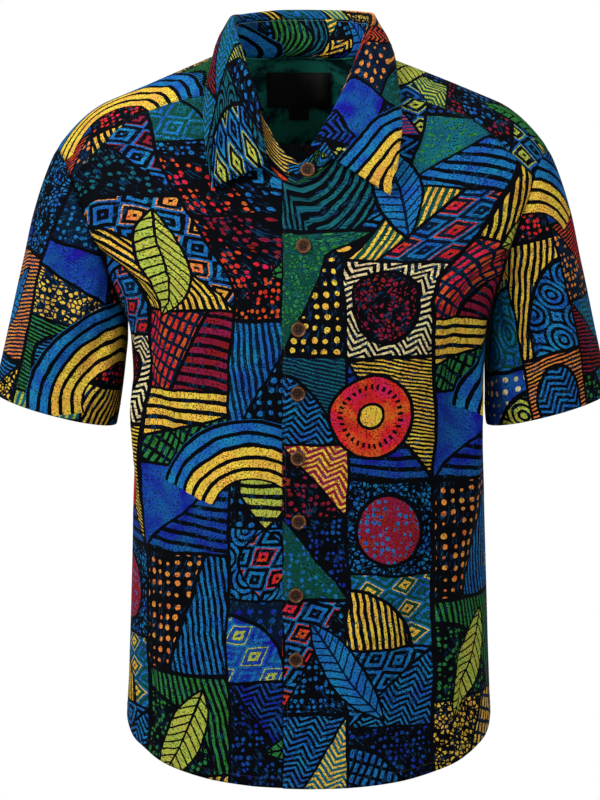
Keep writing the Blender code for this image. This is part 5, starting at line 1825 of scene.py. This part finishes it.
def turned_out(name, shapes, materials, paint=None):
    """One piece from closed shapes, each given as rings of points and closed at both ends. paint
    holds the finish's number for each face of a single shape."""
    points, faces, base = [], [], 0
    for rings in shapes:
        rows, columns = rings.shape[:2]
        index = np.arange(rows * columns).reshape(rows, columns) + base
        nxt = np.roll(index, -1, axis=1)
        quads = np.stack([index[:-1], nxt[:-1], nxt[1:], index[1:]], axis=-1)
        faces += quads.reshape(-1, 4).tolist() + [index[0][::-1].tolist(), index[-1].tolist()]
        points.append(rings.reshape(-1, 3))
        base += rows * columns
    mesh = bpy.data.meshes.new(name)
    mesh.from_pydata(np.concatenate(points).tolist(), [], faces)
    if paint is not None:
        mesh.polygons.foreach_set("material_index", paint)
    facing_out(mesh)
    return set_down(name, mesh, materials)


def button_paint(shape):
    """The finish of each of a button's faces: 0 on the rim and back, 1 in the dish, 2 in the
    holes, whose near-black colour is painted shade in the wells."""
    middle = (shape[:-1] + shape[1:]) / 2
    middle = (middle + np.roll(middle, -1, axis=1)) / 2
    out = np.hypot(middle[..., 0], middle[..., 1]) / BUTTON_RADIUS
    near = np.hypot(np.abs(middle[..., 0]) - HOLE_PLACE, np.abs(middle[..., 1]) - HOLE_PLACE)
    paint = np.where(near < HOLE_RADIUS, 2, np.where(out < DISH_EDGE, 1, 0))
    paint[BUTTON_RINGS - 1 :] = 0
    return np.append(paint.ravel(), (1, 0))


horns = (
    horn_finish("brown_horn", (0.012, 0.0035, 0.0012, 1), (0.190, 0.070, 0.020, 1)),
    horn_finish("brown_horn_dish", (0.0045, 0.0013, 0.0006, 1), (0.055, 0.017, 0.0045, 1)),
    # the third finish is near-black: painted shade in the wells of the holes
    horn_finish("horn_hole_painted_shade", (0.0008, 0.0004, 0.0003, 1), (0.003, 0.0012, 0.0006, 1)),
)
button_thread = thread_finish("button_thread", (0.003, 0.002, 0.002, 1), (0.012, 0.008, 0.006, 1))
shape = button_shape()
lap = front_faces[1]
lap_points = lap[..., :3].reshape(-1, 3)
hole_rings = []
for number, node in enumerate(["collar_button", *(f"button_{k}" for k in range(1, 8))]):
    # the solid's middle and facing: its points' mean, and the direction in which they spread least
    co = np.empty(len(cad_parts[node].data.vertices) * 3, np.float32)
    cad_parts[node].data.vertices.foreach_get("co", co)
    co = co.reshape(-1, 3).astype(float)
    low, high = co.min(axis=0), co.max(axis=0)
    facing = np.linalg.svd(co - co.mean(axis=0))[2][2]
    facing = facing * np.sign(facing @ (0.0, -1.0, 0.3))
    along = (co - co.mean(axis=0)) @ facing
    base = (low + high) / 2
    base = base - facing * (((base - co.mean(axis=0)) @ facing) - along.min())
    lean = math.radians(BUTTON_LEANS[number])
    across = unit(np.cross((0.0, 0.0, 1.0), -facing))
    over = np.cross(facing, across)
    right = math.cos(lean) * across + math.sin(lean) * over
    up = np.cross(facing, right)
    turn = np.stack([right, up, facing])
    piece = turned_out(
        f"{node}_turned", [shape @ turn + base], horns, button_paint(shape)
    )
    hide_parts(node)

    # the thread: a cross from hole to hole over the dish, and the winding down to the cloth
    t = np.linspace(0, 1, 9)[:, None]
    strands = []
    for corner in ((1, 1), (1, -1)):
        reach = (2 * t - 1) * HOLE_PLACE * STRAND_REACH
        lift = BUTTON_THICK * (STRAND_LOW + STRAND_BOW * np.sin(t * math.pi) ** 0.5)
        lift = lift + (STRAND_CROSS if corner[1] > 0 else 0.0)
        local = np.concatenate([reach * corner[0], reach * corner[1], lift], axis=1)
        strands.append(tube(local @ turn + base, SEWING_THREAD))
    local = np.concatenate([0 * t, 0 * t, SHANK_START + t * SHANK_LONG], axis=1)
    strands.append(tube(local @ turn + base, HOLE_PLACE))
    turned_out(f"{node}_thread", strands, [button_thread])

    # the buttonhole behind it: a long ring of close stitches in the cloth's own plane
    if node != "collar_button":
        nearest = np.argsort(((lap_points - base) ** 2).sum(axis=1))[:6]
        normal = unit(lap[..., 3:].reshape(-1, 3)[nearest].mean(axis=0))
        seat = base - normal * ((base - lap_points[nearest].mean(axis=0)) @ normal)
        hole_rings.append((seat, normal))

BUTTONHOLE_HALF, BUTTONHOLE_WIDE = 0.0082, 0.0011  # half length and half width of a buttonhole
BUTTONHOLE_RIB = 0.00045  # half width of its stitched rib
BUTTONHOLE_TURNS, RIB_SIDES = 160, 8  # points round the buttonhole, and round its rib
rings = []
for seat, normal in hole_rings:
    across = unit(np.cross((0.0, 0.0, 1.0), -normal))
    over = np.cross(normal, across)
    turn = np.linspace(0, 2 * math.pi, BUTTONHOLE_TURNS, endpoint=False)
    x = BUTTONHOLE_WIDE * np.clip(2.2 * np.cos(turn), -1, 1)
    z = BUTTONHOLE_HALF * np.sin(turn) * np.abs(np.sin(turn)) ** 0.1
    path = seat + x[:, None] * across + z[:, None] * over + normal * 0.0001
    out = unit(np.stack([np.cos(turn), 0.25 * np.sin(turn)], axis=-1))
    out = out[:, :1] * across + out[:, 1:] * over
    rib = BUTTONHOLE_RIB * (1 + 0.18 * np.cos(np.arange(BUTTONHOLE_TURNS) * math.pi))
    around = np.arange(RIB_SIDES) / RIB_SIDES * 2 * math.pi
    ring = path[:, None] + rib[:, None, None] * (
        np.cos(around)[None, :, None] * out[:, None] * 1.4
        + np.sin(around)[None, :, None] * normal * 0.6
    )
    rings.append(ring)
points = np.stack(rings)
index = np.arange(points.size // 3).reshape(points.shape[:3])
nxt = np.roll(index, -1, axis=1)
faces = np.stack([index, nxt, np.roll(nxt, -1, axis=2), np.roll(index, -1, axis=2)], axis=-1)
mesh = bpy.data.meshes.new("buttonholes")
mesh.from_pydata(points.reshape(-1, 3).tolist(), [], faces.reshape(-1, 4).tolist())
facing_out(mesh)
set_down("buttonholes", mesh, [dark_thread])

# The studio. An even white surround, and large soft lamps in front and above. The shirt hangs free
# of any floor. The camera looks from a little above, as in a catalogue picture.

AIM = np.array([0.001, 0.0, -0.3465])  # the place that the camera and the lamps look at
CAMERA_FAR = 2.6
CAMERA_RISE = math.radians(8.0)
SENSOR = 36.0  # height of the camera's sensor in millimetres
LENS = SENSOR * 2653 / 800  # 2653 pixels of focal length to a picture 800 pixels high
SOFT_LIGHT = 0.52  # how brightly the surround lights the shirt; it looks white itself

back_off = np.array([0.0, -math.cos(CAMERA_RISE), math.sin(CAMERA_RISE)])
camera_data = bpy.data.cameras.new("camera")
camera_data.sensor_fit = "VERTICAL"
camera_data.sensor_height = SENSOR
camera_data.lens = LENS
camera = bpy.data.objects.new("camera", camera_data)
camera.location = AIM + back_off * CAMERA_FAR
camera.rotation_euler = (math.pi / 2 - CAMERA_RISE, 0.0, 0.0)
bpy.context.scene.collection.objects.link(camera)
bpy.context.scene.camera = camera

world = bpy.data.worlds.new("surround")
world.use_nodes = True
room = world.node_tree
seen = room.nodes["Background"]
seen.inputs["Color"].default_value = (1.0, 1.0, 1.0, 1)
seen.inputs["Strength"].default_value = 1.0
soft_light = room.nodes.new("ShaderNodeBackground")
soft_light.inputs["Color"].default_value = (1.0, 1.0, 1.0, 1)
soft_light.inputs["Strength"].default_value = SOFT_LIGHT
either = room.nodes.new("ShaderNodeMixShader")
room.links.new(room.nodes.new("ShaderNodeLightPath").outputs["Is Camera Ray"], either.inputs[0])
room.links.new(soft_light.outputs[0], either.inputs[1])
room.links.new(seen.outputs[0], either.inputs[2])
room.links.new(either.outputs[0], room.nodes["World Output"].inputs["Surface"])
bpy.context.scene.world = world
bpy.context.scene.view_settings.view_transform = "Standard"

for name, place, size, power in (
    ("key", (-2.0, -1.7, 1.6), 0.9, 110.0),
    ("fill", (1.6, -2.4, 0.4), 1.8, 30.0),
    ("top", (0.2, 0.5, 2.2), 1.4, 30.0),
):
    lamp_data = bpy.data.lights.new(name, "AREA")
    lamp_data.size = size
    lamp_data.energy = power
    lamp = bpy.data.objects.new(name, lamp_data)
    lamp.location = place
    lamp.visible_camera = False
    aim = AIM - np.array(place)
    level = math.hypot(aim[0], aim[1])
    lamp.rotation_euler = (math.atan2(level, -aim[2]), 0.0, math.atan2(-aim[0], aim[1]))
    bpy.context.scene.collection.objects.link(lamp)
